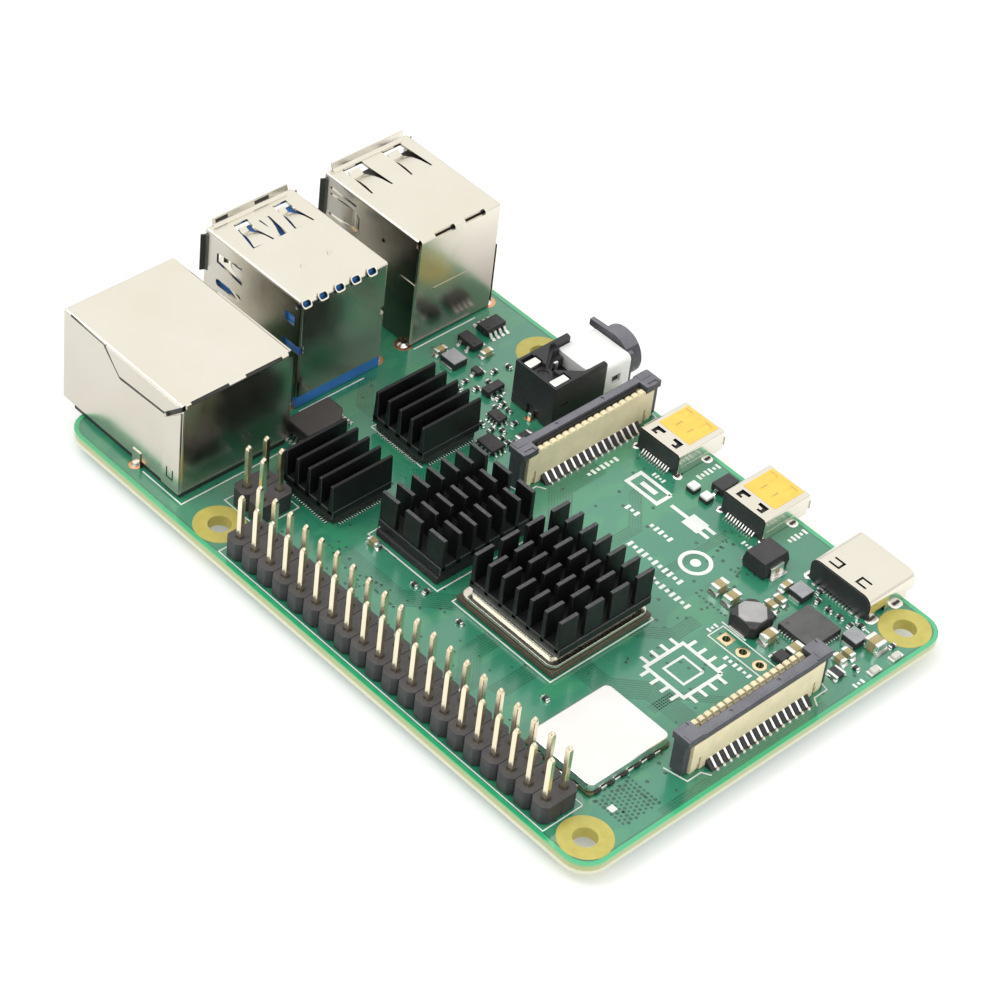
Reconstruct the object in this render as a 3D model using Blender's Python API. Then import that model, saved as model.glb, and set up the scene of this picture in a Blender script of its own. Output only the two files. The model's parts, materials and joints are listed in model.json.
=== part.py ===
"""A credit-card-sized single board computer with clip-on heat sinks.

The board's own coordinates run from its corner: X from the memory card end, Y from the power input edge,
Z up from the underside, all in millimetres. Every shape is drawn there. The object's frame has its origin
on the underside at the centre of the four mounting holes: a shape is moved by FRAME_SHIFT once it is made.
"""

import math

import bmesh
import bpy
from mathutils import Vector

MM = 0.001

# Board
BOARD_LENGTH = 85.0
BOARD_WIDTH = 56.0
BOARD_THICKNESS = 1.4
BOARD_CORNER_RADIUS = 3.0
HOLE_INSET = 3.5
HOLE_SPACING_X = 58.0
HOLE_SPACING_Y = 49.0
HOLE_RADIUS = 1.35
LAND_RADIUS = 3.0
LAND_HEIGHT = 0.03
TOP = BOARD_THICKNESS
FRAME_SHIFT = Vector((-HOLE_INSET - HOLE_SPACING_X / 2, -HOLE_INSET - HOLE_SPACING_Y / 2, 0.0))

# Fits
GAP = 0.05
SLOT_CLEARANCE = 0.15
SHELL_WALL = 0.35
TAIL_END = -1.6
SHORT_TAIL_END = -1.1

# Pin headers
PITCH = 2.54
PIN_SIDE = 0.64
PIN_TOP = TOP + 8.5
PIN_TAPER = 0.5
HEADER_HEIGHT = 2.54
HEADER_COLUMNS = 20
HEADER_FIRST = (8.37, 51.23)
POE_FIRST = (59.85, 45.48)
PIN_HOLE_RADIUS = 0.5

# Jumper row of plated holes
JUMPER_FIRST_X = 9.43
JUMPER_Y = 20.5
JUMPER_PITCH = 2.51
JUMPER_COUNT = 3

# Large jacks at the far end
JACK_FRONT = 88.3
ETHERNET_REAR = 67.2
ETHERNET_Y = 45.75
ETHERNET_HALF = 8.0
ETHERNET_HEIGHT = 13.5
USB3_REAR = 71.1
USB2_REAR = 71.5
USB_HALF = 6.5
USB_HEIGHT = 15.6
USB_LIP = 0.7
USB_TOP_LIP = 0.95
USB3_Y = 27.0
USB2_Y = 9.0
USB_LOWER_PORT = (2.6, 7.75)
USB_UPPER_PORT = (11.45, 16.65)
USB_TONGUE = 1.84

# Power input edge
USB_C_X = 11.2
USB_C_WIDTH = 8.94
USB_C_HEIGHT = 3.2
VIDEO_PORT_XS = (26.0, 39.5)
VIDEO_WIDTH = 6.5
VIDEO_HEIGHT = 3.05
PORT_FRONT = -1.3
PORT_REAR = 6.2
AUDIO_X = 54.0
AUDIO_HALF = 3.35

# Flat cable connectors: X of the side with the leads, middle Y
CAMERA_AT = (45.2, 11.45)
DISPLAY_AT = (2.85, 28.05)
FLAT_DEPTH = 2.5
FLAT_LENGTH = 20.0
FLAT_HEIGHT = 5.1
LATCH_LENGTH = 22.0
LATCH_HEIGHT = 5.5
LATCH_DROP = 1.0
LATCH_EAR = 2.4
LATCH_BAR = 1.2
LATCH_ARM = 0.3
CABLE_WIDTH = 16.2
LEAD_COUNT = 15
LEAD_PITCH = 1.0

# Cooled chips: centre X and Y
PROCESSOR_AT = (29.2, 32.4)
PROCESSOR_SINK_AT = (29.05, 31.9)
MEMORY_AT = (44.8, 32.7)
USB_CONTROLLER_AT = (59.2, 24.1)
ETHERNET_CONTROLLER_AT = (57.95, 38.65)

# Small parts: finish, centre X, centre Y, size X, size Y, height above the board
SMALL_PARTS = {
    "power_management_chip": ("chip_black", 9.7, 12.4, 4.9, 4.9, 0.9),
    "power_inductor": ("grey_ferrite", 14.45, 16.7, 3.9, 3.9, 2.0),
    "input_protection_diode": ("chip_black", 19.9, 8.7, 3.4, 4.2, 2.3),
    "core_inductor": ("grey_ferrite", 14.1, 9.05, 2.1, 2.0, 1.1),
    "supply_inductor": ("grey_ferrite", 5.6, 9.6, 2.1, 2.0, 1.1),
    "port_inductor": ("grey_ferrite", 66.35, 13.15, 2.4, 2.1, 1.1),
    "port_power_chip": ("chip_black", 66.9, 33.7, 4.0, 6.5, 2.2),
    "port_switch_chip": ("chip_black", 68.3, 5.3, 1.8, 3.1, 1.1),
    "port_voltage_chip": ("chip_black", 67.7, 9.25, 2.9, 1.6, 1.0),
    "audio_driver_chip": ("chip_black", 59.75, 13.0, 1.2, 2.7, 1.0),
    "audio_filter_chip": ("chip_black", 55.85, 15.95, 2.0, 1.4, 0.85),
    "camera_switch_chip": ("chip_black", 52.8, 19.75, 2.7, 2.1, 0.85),
    "status_light_activity": ("clear_light", 1.1, 11.3, 0.8, 1.6, 0.6),
    "status_light_power": ("clear_light", 1.1, 7.8, 0.8, 1.6, 0.6),
}

# Colour, roughness and metallic value of each kind of finish
FINISHES = {
    "solder_mask": ((0.05, 0.30, 0.17), 0.35, 0.0),
    "header_plastic": ((0.035, 0.035, 0.038), 0.55, 0.0),
    "nickel": ((0.82, 0.80, 0.75), 0.28, 1.0),
    "gold": ((0.85, 0.66, 0.35), 0.25, 1.0),
    "black_plastic": ((0.02, 0.021, 0.023), 0.5, 0.0),
    "blue_plastic": ((0.03, 0.13, 0.42), 0.45, 0.0),
    "cream_plastic": ((0.72, 0.66, 0.45), 0.5, 0.0),
    "latch_plastic": ((0.09, 0.09, 0.105), 0.5, 0.0),
    "white_plastic": ((0.85, 0.85, 0.82), 0.45, 0.0),
    "black_anodised": ((0.015, 0.016, 0.017), 0.42, 0.6),
    "package_green": ((0.10, 0.16, 0.07), 0.5, 0.0),
    "chip_black": ((0.025, 0.026, 0.028), 0.6, 0.0),
    "grey_ferrite": ((0.30, 0.31, 0.32), 0.6, 0.0),
    "thermal_pad": ((0.45, 0.47, 0.50), 0.8, 0.0),
    "clear_light": ((0.80, 0.82, 0.78), 0.2, 0.0),
}


# ---- closed shapes, each a list of points and a list of faces ----


def prism(outline, low, high, along="z"):
    """The outline, given in the other two axes in their X, Y, Z order, from low to high along one axis."""
    place = {
        "x": lambda a, b, c: (c, a, b),
        "y": lambda a, b, c: (a, c, b),
        "z": lambda a, b, c: (a, b, c),
    }[along]
    count = len(outline)
    points = [place(a, b, end) for end in (low, high) for a, b in outline]
    sides = [(i, (i + 1) % count, count + (i + 1) % count, count + i) for i in range(count)]
    ends = [tuple(range(count))[::-1], tuple(range(count, 2 * count))]
    return points, sides + ends


def block(x, y, z):
    """A box from a low and a high value on each axis."""
    return prism([(x[0], y[0]), (x[1], y[0]), (x[1], y[1]), (x[0], y[1])], z[0], z[1])


def centred(x, y, size_x, size_y, low, high):
    return block((x - size_x / 2, x + size_x / 2), (y - size_y / 2, y + size_y / 2), (low, high))


def circle(x, y, radius, segments=32):
    turns = [2 * math.pi * (i + 0.5) / segments for i in range(segments)]
    return [(x + radius * math.cos(t), y + radius * math.sin(t)) for t in turns]


def rounded(x, y, radius, steps=6):
    """A rectangle with round corners."""
    corners = [
        (x[1] - radius, y[0] + radius, -90),
        (x[1] - radius, y[1] - radius, 0),
        (x[0] + radius, y[1] - radius, 90),
        (x[0] + radius, y[0] + radius, 180),
    ]
    outline = []
    for a, b, start in corners:
        for i in range(steps + 1):
            t = math.radians(start + 90 * i / steps)
            outline.append((a + radius * math.cos(t), b + radius * math.sin(t)))
    return outline


def square_pin(x, y, low, high, side=PIN_SIDE):
    """A square pin with a pyramid cut short at its upper end."""
    half, tip = side / 2, side / 5
    rings = [(half, low), (half, high - PIN_TAPER), (tip, high)]
    corners = ((-1, -1), (1, -1), (1, 1), (-1, 1))
    points = [(x + sx * r, y + sy * r, z) for r, z in rings for sx, sy in corners]
    sides = [
        (4 * k + i, 4 * k + (i + 1) % 4, 4 * k + 4 + (i + 1) % 4, 4 * k + 4 + i)
        for k in range(2)
        for i in range(4)
    ]
    return points, sides + [(3, 2, 1, 0), (8, 9, 10, 11)]


# ---- objects ----


def finished(name, finish):
    """A material of the object's own."""
    colour, roughness, metallic = FINISHES[finish]
    material = bpy.data.materials.new(name)
    material.use_nodes = True
    shader = material.node_tree.nodes["Principled BSDF"]
    shader.inputs["Base Color"].default_value = (*colour, 1.0)
    shader.inputs["Roughness"].default_value = roughness
    shader.inputs["Metallic"].default_value = metallic
    material.diffuse_color = (*colour, 1.0)
    return material


def shape_object(name, shapes):
    """One object that holds the given closed shapes, in metres and in the object's frame."""
    bm = bmesh.new()
    for points, faces in shapes:
        corners = [bm.verts.new((Vector(p) + FRAME_SHIFT) * MM) for p in points]
        for face in faces:
            bm.faces.new([corners[i] for i in face])
    bmesh.ops.recalc_face_normals(bm, faces=bm.faces)
    mesh = bpy.data.meshes.new(name)
    bm.to_mesh(mesh)
    bm.free()
    made = bpy.data.objects.new(name, mesh)
    bpy.context.scene.collection.objects.link(made)
    return made


def boolean(target, shapes, operation):
    """Joins the shapes to the target, or cuts them from it, and clears the helper away."""
    helper = shape_object(target.name + "_helper", shapes)
    modifier = target.modifiers.new(operation, "BOOLEAN")
    modifier.operation = operation
    modifier.solver = "EXACT"
    modifier.use_self = len(shapes) > 1
    modifier.object = helper
    graph = bpy.context.evaluated_depsgraph_get()
    old = target.data
    made = bpy.data.meshes.new_from_object(target.evaluated_get(graph))
    target.modifiers.remove(modifier)
    target.data = made
    bpy.data.meshes.remove(old)
    spare = helper.data
    bpy.data.objects.remove(helper)
    bpy.data.meshes.remove(spare)


def piece(name, finish, adds, cuts=(), smooth=False):
    """One sub-part: the first shape, with the others joined to it and the cuts taken out."""
    made = shape_object(name, adds[:1])
    if len(adds) > 1:
        boolean(made, adds[1:], "UNION")
    if cuts:
        boolean(made, list(cuts), "DIFFERENCE")
    made.data.name = name
    if smooth:
        made.data.shade_smooth()
        made.data.set_sharp_from_angle(angle=math.radians(40))
    made.data.materials.clear()
    made.data.materials.append(finished(name, finish))
    return made


def on_axis(made, x, y, z):
    """Moves a piece's origin to a point, without moving the piece."""
    origin = (Vector((x, y, z)) + FRAME_SHIFT) * MM
    for vertex in made.data.vertices:
        vertex.co -= origin
    made.location = origin


# ---- places that several pieces share ----


def mounting_holes():
    return [
        (HOLE_INSET + i * HOLE_SPACING_X, HOLE_INSET + j * HOLE_SPACING_Y)
        for i in range(2)
        for j in range(2)
    ]


def pin_places(first, columns):
    return [(first[0] + PITCH * i, first[1] + PITCH * j) for i in range(columns) for j in range(2)]


def jumper_holes():
    return [(JUMPER_FIRST_X + JUMPER_PITCH * i, JUMPER_Y) for i in range(JUMPER_COUNT)]


def legs(middle, half, starts, width, wall=SHELL_WALL):
    """Plan of the legs that stand in a shell's two side walls, which run along the other axis."""
    walls = [middle + side * (half - wall / 2) for side in (-1, 1)]
    return [((start, start + width), (at - wall / 2, at + wall / 2)) for start in starts for at in walls]


ETHERNET_LEGS = legs(ETHERNET_Y, ETHERNET_HALF, (74.0,), 1.4)
USB_LEGS = {y: legs(y, USB_HALF, (71.8, 82.6), 1.2) for y in (USB3_Y, USB2_Y)}
PORT_LEGS = {USB_C_X: [(b, a) for a, b in legs(USB_C_X, USB_C_WIDTH / 2, (0.95, 5.0), 0.9)]}
for port_x in VIDEO_PORT_XS:
    PORT_LEGS[port_x] = [(b, a) for a, b in legs(port_x, VIDEO_WIDTH / 2, (0.65, 5.25), 0.9)]


def slots(plans):
    """The board's slots for legs of those plans."""
    c = SLOT_CLEARANCE
    return [block((x[0] - c, x[1] + c), (y[0] - c, y[1] + c), (-1.0, TOP + 1.0)) for x, y in plans]


# ---- board and headers ----


def make_board():
    lands = [
        prism(circle(x, y, LAND_RADIUS), -LAND_HEIGHT, TOP + LAND_HEIGHT) for x, y in mounting_holes()
    ]
    holes = [prism(circle(x, y, HOLE_RADIUS), -1.0, TOP + 1.0) for x, y in mounting_holes()]
    small = pin_places(HEADER_FIRST, HEADER_COLUMNS) + pin_places(POE_FIRST, 2) + jumper_holes()
    holes += [prism(circle(x, y, PIN_HOLE_RADIUS, 8), -1.0, TOP + 1.0) for x, y in small]
    rows = [ETHERNET_LEGS, *USB_LEGS.values(), *PORT_LEGS.values()]
    plans = [plan for row in rows for plan in row]
    outline = rounded((0.0, BOARD_LENGTH), (0.0, BOARD_WIDTH), BOARD_CORNER_RADIUS)
    piece(
        "circuit_board",
        "solder_mask",
        [prism(outline, 0.0, BOARD_THICKNESS)] + lands,
        holes + slots(plans),
        smooth=True,
    )


def make_header(name, first, columns):
    places = pin_places(first, columns)
    x = (first[0] - PITCH / 2, first[0] + PITCH * (columns - 0.5))
    y = (first[1] - PITCH / 2, first[1] + PITCH * 1.5)
    housing = block(x, y, (TOP + GAP, TOP + HEADER_HEIGHT))
    pins = [square_pin(a, b, TAIL_END, PIN_TOP) for a, b in places]
    piece(name, "header_plastic", [housing] + pins)


# ---- network jack ----


def make_ethernet_jack():
    y = ETHERNET_Y
    low, high = y - ETHERNET_HALF, y + ETHERNET_HALF
    top = TOP + ETHERNET_HEIGHT
    outer = block((ETHERNET_REAR, JACK_FRONT), (low, high), (TOP + GAP, top))
    feet = [block(a, b, (TAIL_END, TOP + 2.0)) for a, b in ETHERNET_LEGS]
    w = SHELL_WALL
    inner = block((ETHERNET_REAR + w, JACK_FRONT + 1.0), (low + w, high - w), (0.0, top - w))
    piece("ethernet_shell", "nickel", [outer] + feet, [inner])

    gap = w + 0.15
    core = block((ETHERNET_REAR + gap, JACK_FRONT - 0.2), (low + gap, high - gap), (1.7, top - gap))
    front = JACK_FRONT + 1.0
    mouth = block((75.3, front), (y - 5.95, y + 5.95), (4.3, 11.0))
    latch_slot = block((75.3, front), (y - 3.1, y + 3.1), (2.7, 5.0))
    contact_pocket = block((75.3, 84.5), (y - 4.6, y + 4.6), (10.0, 11.9))
    light_pockets = [
        block((85.0, front), (y + side * 5.45 - 2.0, y + side * 5.45 + 2.0), (1.95, 3.95))
        for side in (-1, 1)
    ]
    piece(
        "ethernet_insert", "black_plastic", [core], [mouth, latch_slot, contact_pocket] + light_pockets
    )

    bar = block((75.6, 77.2), (y - 4.3, y + 4.3), (11.0, 11.7))
    finger_side = [(76.8, 11.1), (84.0, 9.5), (84.0, 9.2), (76.8, 10.8)]
    finger_y = [y + 1.016 * (i - 3.5) for i in range(8)]
    fingers = [prism(finger_side, a - 0.25, a + 0.25, "y") for a in finger_y]
    root = block((76.7, 76.95), (y - 4.2, y + 4.2), (10.7, 11.3))
    piece("ethernet_contacts", "gold", [bar, root] + fingers)

    for name, side in (("ethernet_light_left", -1), ("ethernet_light_right", 1)):
        middle = y + side * 5.45
        lens = block((85.2, JACK_FRONT - 0.1), (middle - 1.85, middle + 1.85), (2.1, 3.8))
        piece(name, "clear_light", [lens])


# ---- stacked sockets ----


def make_usb_stack(name, y, rear, finish):
    w = SHELL_WALL
    top = TOP + USB_HEIGHT
    low, high = USB_LOWER_PORT, USB_UPPER_PORT
    inside = (y - USB_HALF + w, y + USB_HALF - w)
    outer = block((rear, JACK_FRONT), (y - USB_HALF, y + USB_HALF), (TOP + GAP, top))
    lip = block(
        (JACK_FRONT - 0.3, JACK_FRONT),
        (y - USB_HALF - USB_LIP, y + USB_HALF + USB_LIP),
        (TOP - 0.2, top + USB_TOP_LIP),
    )
    feet = [block(a, b, (TAIL_END, TOP + 2.0)) for a, b in USB_LEGS[y]]
    front = JACK_FRONT + 1.0
    rear_room = block((rear + w, 76.8), inside, (0.0, top - w))
    upper = block((76.0, front), inside, high)
    lower = block((76.0, front), inside, low)
    between = block((76.0, JACK_FRONT - 0.7), inside, (low[1] + 0.3, high[0] - 0.3))
    below = block((76.0, JACK_FRONT - 0.7), inside, (0.0, low[0] - 0.3))
    piece(name + "_shell", "nickel", [outer, lip] + feet, [rear_room, upper, lower, between, below])

    gap = 0.15
    wide = (inside[0] + gap, inside[1] - gap)
    back = block((rear + w + gap, 76.4), wide, (1.6, top - w - gap))
    base = block((rear + w + gap, 85.0), wide, (1.5, low[0] - 0.3 - gap))
    middle = block((76.0, JACK_FRONT - 0.7 - gap), wide, (low[1] + 0.3 + gap, high[0] - 0.3 - gap))
    tongues = [
        block((76.0, 86.8), (y - 5.5, y + 5.5), (port[1] - 0.75 - USB_TONGUE, port[1] - 0.75))
        for port in (low, high)
    ]
    piece(name + "_insert", finish, [back, base, middle] + tongues)


# ---- ports on the power input edge ----


def make_usb_c_port():
    x, half = USB_C_X, USB_C_WIDTH / 2
    low, high = TOP + GAP, TOP + GAP + USB_C_HEIGHT
    w = 0.3

    def oval(inset):
        radius = USB_C_HEIGHT / 2 - inset - 0.001
        return rounded((x - half + inset, x + half - inset), (low + inset, high - inset), radius, 6)

    feet = [block(a, b, (SHORT_TAIL_END, TOP + GAP + 2.0)) for a, b in PORT_LEGS[x]]
    tube = prism(oval(0.0), PORT_FRONT, PORT_REAR, "y")
    bore = prism(oval(w), PORT_FRONT - 1.0, PORT_REAR + 1.0, "y")
    piece("usb_c_shell", "nickel", [tube] + feet, [bore], smooth=True)

    back = prism(oval(w + 0.1), 3.6, PORT_REAR - 0.1, "y")
    middle = (low + high) / 2
    tongue = block((x - 3.35, x + 3.35), (-0.6, 4.0), (middle - 0.35, middle + 0.35))
    piece("usb_c_insert", "black_plastic", [back, tongue], smooth=True)


def make_video_port(index, x):
    half = VIDEO_WIDTH / 2
    low, high = TOP + GAP, TOP + GAP + VIDEO_HEIGHT
    w = 0.3
    front = PORT_FRONT
    outer = block((x - half, x + half), (front, PORT_REAR), (low, high))
    lip = block((x - half - 0.3, x + half + 0.3), (front - 0.25, front), (low - 0.2, high + 0.3))
    feet = [block(a, b, (SHORT_TAIL_END, TOP + 1.0)) for a, b in PORT_LEGS[x]]
    bore = block((x - half + w, x + half - w), (front - 1.0, PORT_REAR + 1.0), (low + w, high - w))
    piece(f"video_port_{index}_shell", "nickel", [outer, lip] + feet, [bore])

    gap = w + 0.1
    back = block((x - half + gap, x + half - gap), (3.4, PORT_REAR - 0.1), (low + gap, high - gap))
    tongue = block((x - 2.2, x + 2.2), (-0.3, 3.8), (low + 1.5, low + 2.2))
    piece(f"video_port_{index}_insert", "black_plastic", [back, tongue])


def make_audio_jack():
    """The open-topped rear housing, the white middle block and the front collar with its barrel."""
    x, half = AUDIO_X, AUDIO_HALF
    low = TOP + GAP
    top = TOP + 6.3
    bore_z = TOP + 3.05
    rear = (3.9, 12.4)
    inner = (x - half + 0.45, x + half - 0.45)
    deck = block(inner, (rear[0] + 2.1, rear[1] - 0.3), (top - 0.6, top + 1.0))
    pit = block((x - 1.6, x + 1.6), (rear[0] + 2.0, rear[1] - 2.2), (TOP + 3.0, top + 1.0))
    pocket = block(inner, (rear[0] - 1.0, rear[0] + 2.15), (TOP + 3.0, top + 1.0))
    body = block((x - half, x + half), rear, (low, top))
    piece("audio_jack_housing", "black_plastic", [body], [deck, pit, pocket])

    bore = prism(circle(x, bore_z, 1.75, 24), -4.0, 2.8, "y")
    middle = block((x - half + 0.1, x + half - 0.1), (-0.2, rear[0] - GAP), (low, TOP + 5.1))
    tenon_y, tenon_z = (rear[0] - 0.5, rear[0] + 2.1), (TOP + 3.0 + GAP, TOP + 5.1)
    tenon = block((inner[0] + GAP, inner[1] - GAP), tenon_y, tenon_z)
    window = block((x - half - 1.0, x - half + 0.9), (1.35, 2.75), (TOP + 2.1, TOP + 3.25))
    piece("audio_jack_sleeve", "white_plastic", [middle, tenon], [bore, window], smooth=True)

    barrel = prism(circle(x, bore_z, 3.05, 40), -2.5, -0.2 - GAP, "y")
    flange = block((x - half + 0.2, x + half - 0.2), (-0.95, -0.2 - GAP), (TOP + 0.3, TOP + 5.0))
    tab = block((x, x + 4.0), (-0.95, -0.2 - GAP), (TOP + 4.9, TOP + 5.95))
    piece("audio_jack_collar", "latch_plastic", [barrel, flange, tab], [bore], smooth=True)

    for name, side, length in (("audio_contact_left", -2.28, 2.4), ("audio_contact_right", 1.9, 1.9)):
        plate = centred(x + side, rear[1] - 0.4 - length / 2, 1.15, length, top - 0.6 + GAP, top - 0.05)
        piece(name, "nickel", [plate])


# ---- flat cable connectors ----


def make_flat_connector(name, at, latch_side):
    """The housing with its leads, and the latch on its latch_side, which lifts to free the cable."""
    x0, y = at
    x1 = x0 + FLAT_DEPTH
    half = FLAT_LENGTH / 2
    low = TOP + GAP
    latch_bottom = TOP + LATCH_HEIGHT - LATCH_DROP
    body_top = TOP + FLAT_HEIGHT
    if latch_side > 0:
        bar = (x1 - LATCH_BAR, x1)
        body = [block((x0, x1 - LATCH_BAR - GAP), (y - half, y + half), (low, body_top))]
    else:
        bar = (x0, x0 + LATCH_BAR)
        body = [block((x0 + LATCH_BAR + GAP, x1), (y - half, y + half), (low, body_top))]
    body.append(block((x0, x1), (y - half, y + half), (low, latch_bottom - GAP)))
    lead_y = [y + LEAD_PITCH * (i - (LEAD_COUNT - 1) / 2) for i in range(LEAD_COUNT)]
    body += [block((x0 - 1.3, x0 + 0.4), (a - 0.15, a + 0.15), (low, low + 0.25)) for a in lead_y]
    mouth_x = x0 + FLAT_DEPTH / 2
    above_latch = (latch_bottom - GAP, body_top + 1.0)
    latch_half = LATCH_LENGTH / 2
    ear = LATCH_EAR
    ear_ends = [(y - latch_half, y - latch_half + ear), (y + latch_half - ear, y + latch_half)]
    ear_room = [block((x0 - 1.0, x1 + 1.0), (a - GAP, b + GAP), above_latch) for a, b in ear_ends]
    mouth_half = CABLE_WIDTH / 2
    mouth_y = (y - mouth_half, y + mouth_half)
    mouth = block((mouth_x - 0.25, mouth_x + 0.25), mouth_y, (TOP + 1.4, body_top + 1.0))
    piece(name + "_connector_housing", "cream_plastic", body, ear_room + [mouth])

    latch = [block(bar, (y - latch_half, y + latch_half), (latch_bottom, TOP + LATCH_HEIGHT))]
    latch += [block((x0, x1), ends, (latch_bottom, TOP + LATCH_HEIGHT)) for ends in ear_ends]
    arm_ends = [(y - latch_half, y - half - GAP), (y + half + GAP, y + latch_half)]
    latch += [block((x0 + 0.4, x1 - 0.4), ends, (TOP + LATCH_ARM, latch_bottom + 0.5)) for ends in arm_ends]
    made = piece(name + "_connector_latch", "latch_plastic", latch)
    on_axis(made, mouth_x, y, latch_bottom)


# ---- heat sinks and what they cool ----


def fins_across(x, y, size, fins, thick, gap_row):
    """Plans of flat fins along Y, which stand side by side along X in one or more rows."""
    columns, rows = fins
    step_x = (size[0] - thick) / (columns - 1)
    length = (size[1] - gap_row * (rows - 1)) / rows
    plans = []
    for i in range(columns):
        a = x - size[0] / 2 + step_x * i
        for j in range(rows):
            b = y - size[1] / 2 + (length + gap_row) * j
            plans.append(((a, a + thick), (b, b + length)))
    return plans


def make_heat_sink(name, at, size, bottom, top, fins, thick, gap_row=1.0, base=1.1, turned=False):
    x, y = at
    if turned:
        plans = [(b, a) for a, b in fins_across(y, x, (size[1], size[0]), fins, thick, gap_row)]
    else:
        plans = fins_across(x, y, size, fins, thick, gap_row)
    plate = centred(x, y, size[0] - 0.02, size[1] - 0.02, bottom, bottom + base)
    piece(name, "black_anodised", [plate] + [block(a, b, (bottom + base / 2, top)) for a, b in plans])


def make_cooled_chips():
    px, py = PROCESSOR_AT
    piece("processor_substrate", "package_green", [centred(px, py, 15.0, 15.0, TOP + GAP, TOP + 0.9)])
    brim = centred(px, py, 14.7, 14.7, TOP + 0.95, TOP + 1.4)
    crown = centred(px, py, 13.2, 13.2, TOP + 1.2, TOP + 1.9)
    piece("processor_lid", "nickel", [brim, crown])
    piece("processor_thermal_pad", "thermal_pad", [centred(px, py, 12.6, 12.6, TOP + 1.95, TOP + 2.15)])
    make_heat_sink(
        "processor_heat_sink", PROCESSOR_SINK_AT, (14.0, 14.0), TOP + 2.2, TOP + 7.2, (7, 4), 0.9
    )

    mx, my = MEMORY_AT
    piece("memory_chip", "chip_black", [centred(mx, my, 10.0, 14.5, TOP + GAP, TOP + 0.95)])
    piece("memory_thermal_pad", "thermal_pad", [centred(mx, my, 9.6, 13.4, TOP + 1.0, TOP + 1.15)])
    make_heat_sink(
        "memory_heat_sink", MEMORY_AT, (10.2, 14.0), TOP + 1.2, TOP + 6.2, (7, 3), 0.9, turned=True
    )

    controllers = {"usb_controller": USB_CONTROLLER_AT, "ethernet_controller": ETHERNET_CONTROLLER_AT}
    for name, (x, y) in controllers.items():
        piece(name + "_chip", "chip_black", [centred(x, y, 8.0, 8.0, TOP + GAP, TOP + 0.85)])
        piece(name + "_thermal_pad", "thermal_pad", [centred(x, y, 7.6, 7.6, TOP + 0.9, TOP + 1.0)])
        make_heat_sink(name + "_heat_sink", (x, y), (8.6, 8.8), TOP + 1.05, TOP + 5.75, (5, 1), 0.75)


# ---- other parts on the board ----


def make_wireless_module():
    x, y = (7.2, 16.8), (36.6, 48.4)
    edge = rounded((x[0] - 0.1, x[1] + 0.1), (y[0] - 0.1, y[1] + 0.1), 0.9, 4)
    floor = prism(edge, TOP + GAP, TOP + 0.35)
    piece("wireless_module_base", "package_green", [floor])
    can = prism(rounded(x, y, 0.8, 4), TOP + 0.4, TOP + 1.6)
    room = prism(rounded((x[0] + 0.3, x[1] - 0.3), (y[0] + 0.3, y[1] - 0.3), 0.6, 4), TOP, TOP + 1.3)
    piece("wireless_shield_can", "nickel", [can], [room], smooth=True)


def make_card_socket():
    """Under the board: the metal cover, open towards the board's end, and the plastic base."""
    y = BOARD_WIDTH / 2
    cover = block((1.6, 13.2), (y - 6.8, y + 6.8), (TAIL_END, -GAP))
    room = block((0.2, 12.8), (y - 6.4, y + 6.4), (TAIL_END + 0.25, 1.0))
    piece("card_socket_cover", "nickel", [cover], [room])
    plate = block((2.1, 12.6), (y - 6.2, y + 6.2), (-0.4, -GAP - 0.02))
    stop = block((11.6, 12.6), (y - 6.2, y + 6.2), (TAIL_END + 0.4, -0.2))
    piece("card_socket_base", "black_plastic", [plate, stop])


def make_small_parts():
    for name, (finish, x, y, size_x, size_y, height) in SMALL_PARTS.items():
        piece(name, finish, [centred(x, y, size_x, size_y, TOP + GAP, TOP + height)])


def clear_scene():
    for old in list(bpy.data.objects):
        bpy.data.objects.remove(old)


def main():
    clear_scene()
    make_board()
    make_header("gpio_header", HEADER_FIRST, HEADER_COLUMNS)
    make_header("poe_header", POE_FIRST, 2)
    make_ethernet_jack()
    make_usb_stack("usb3", USB3_Y, USB3_REAR, "blue_plastic")
    make_usb_stack("usb2", USB2_Y, USB2_REAR, "black_plastic")
    make_usb_c_port()
    for index, x in enumerate(VIDEO_PORT_XS):
        make_video_port(index, x)
    make_audio_jack()
    make_flat_connector("camera", CAMERA_AT, 1)
    make_flat_connector("display", DISPLAY_AT, -1)
    make_cooled_chips()
    make_wireless_module()
    make_card_socket()
    make_small_parts()


main()
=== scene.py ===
"""The looks of a single board computer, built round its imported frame.

Shapes are drawn in board millimetres: X from the memory card end, Y from the power input edge, Z from the
underside. They are moved into the frame's metres once, where a piece is made.
"""

import json
import math
import random

import bmesh
import bpy
from mathutils import Matrix, Vector


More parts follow.
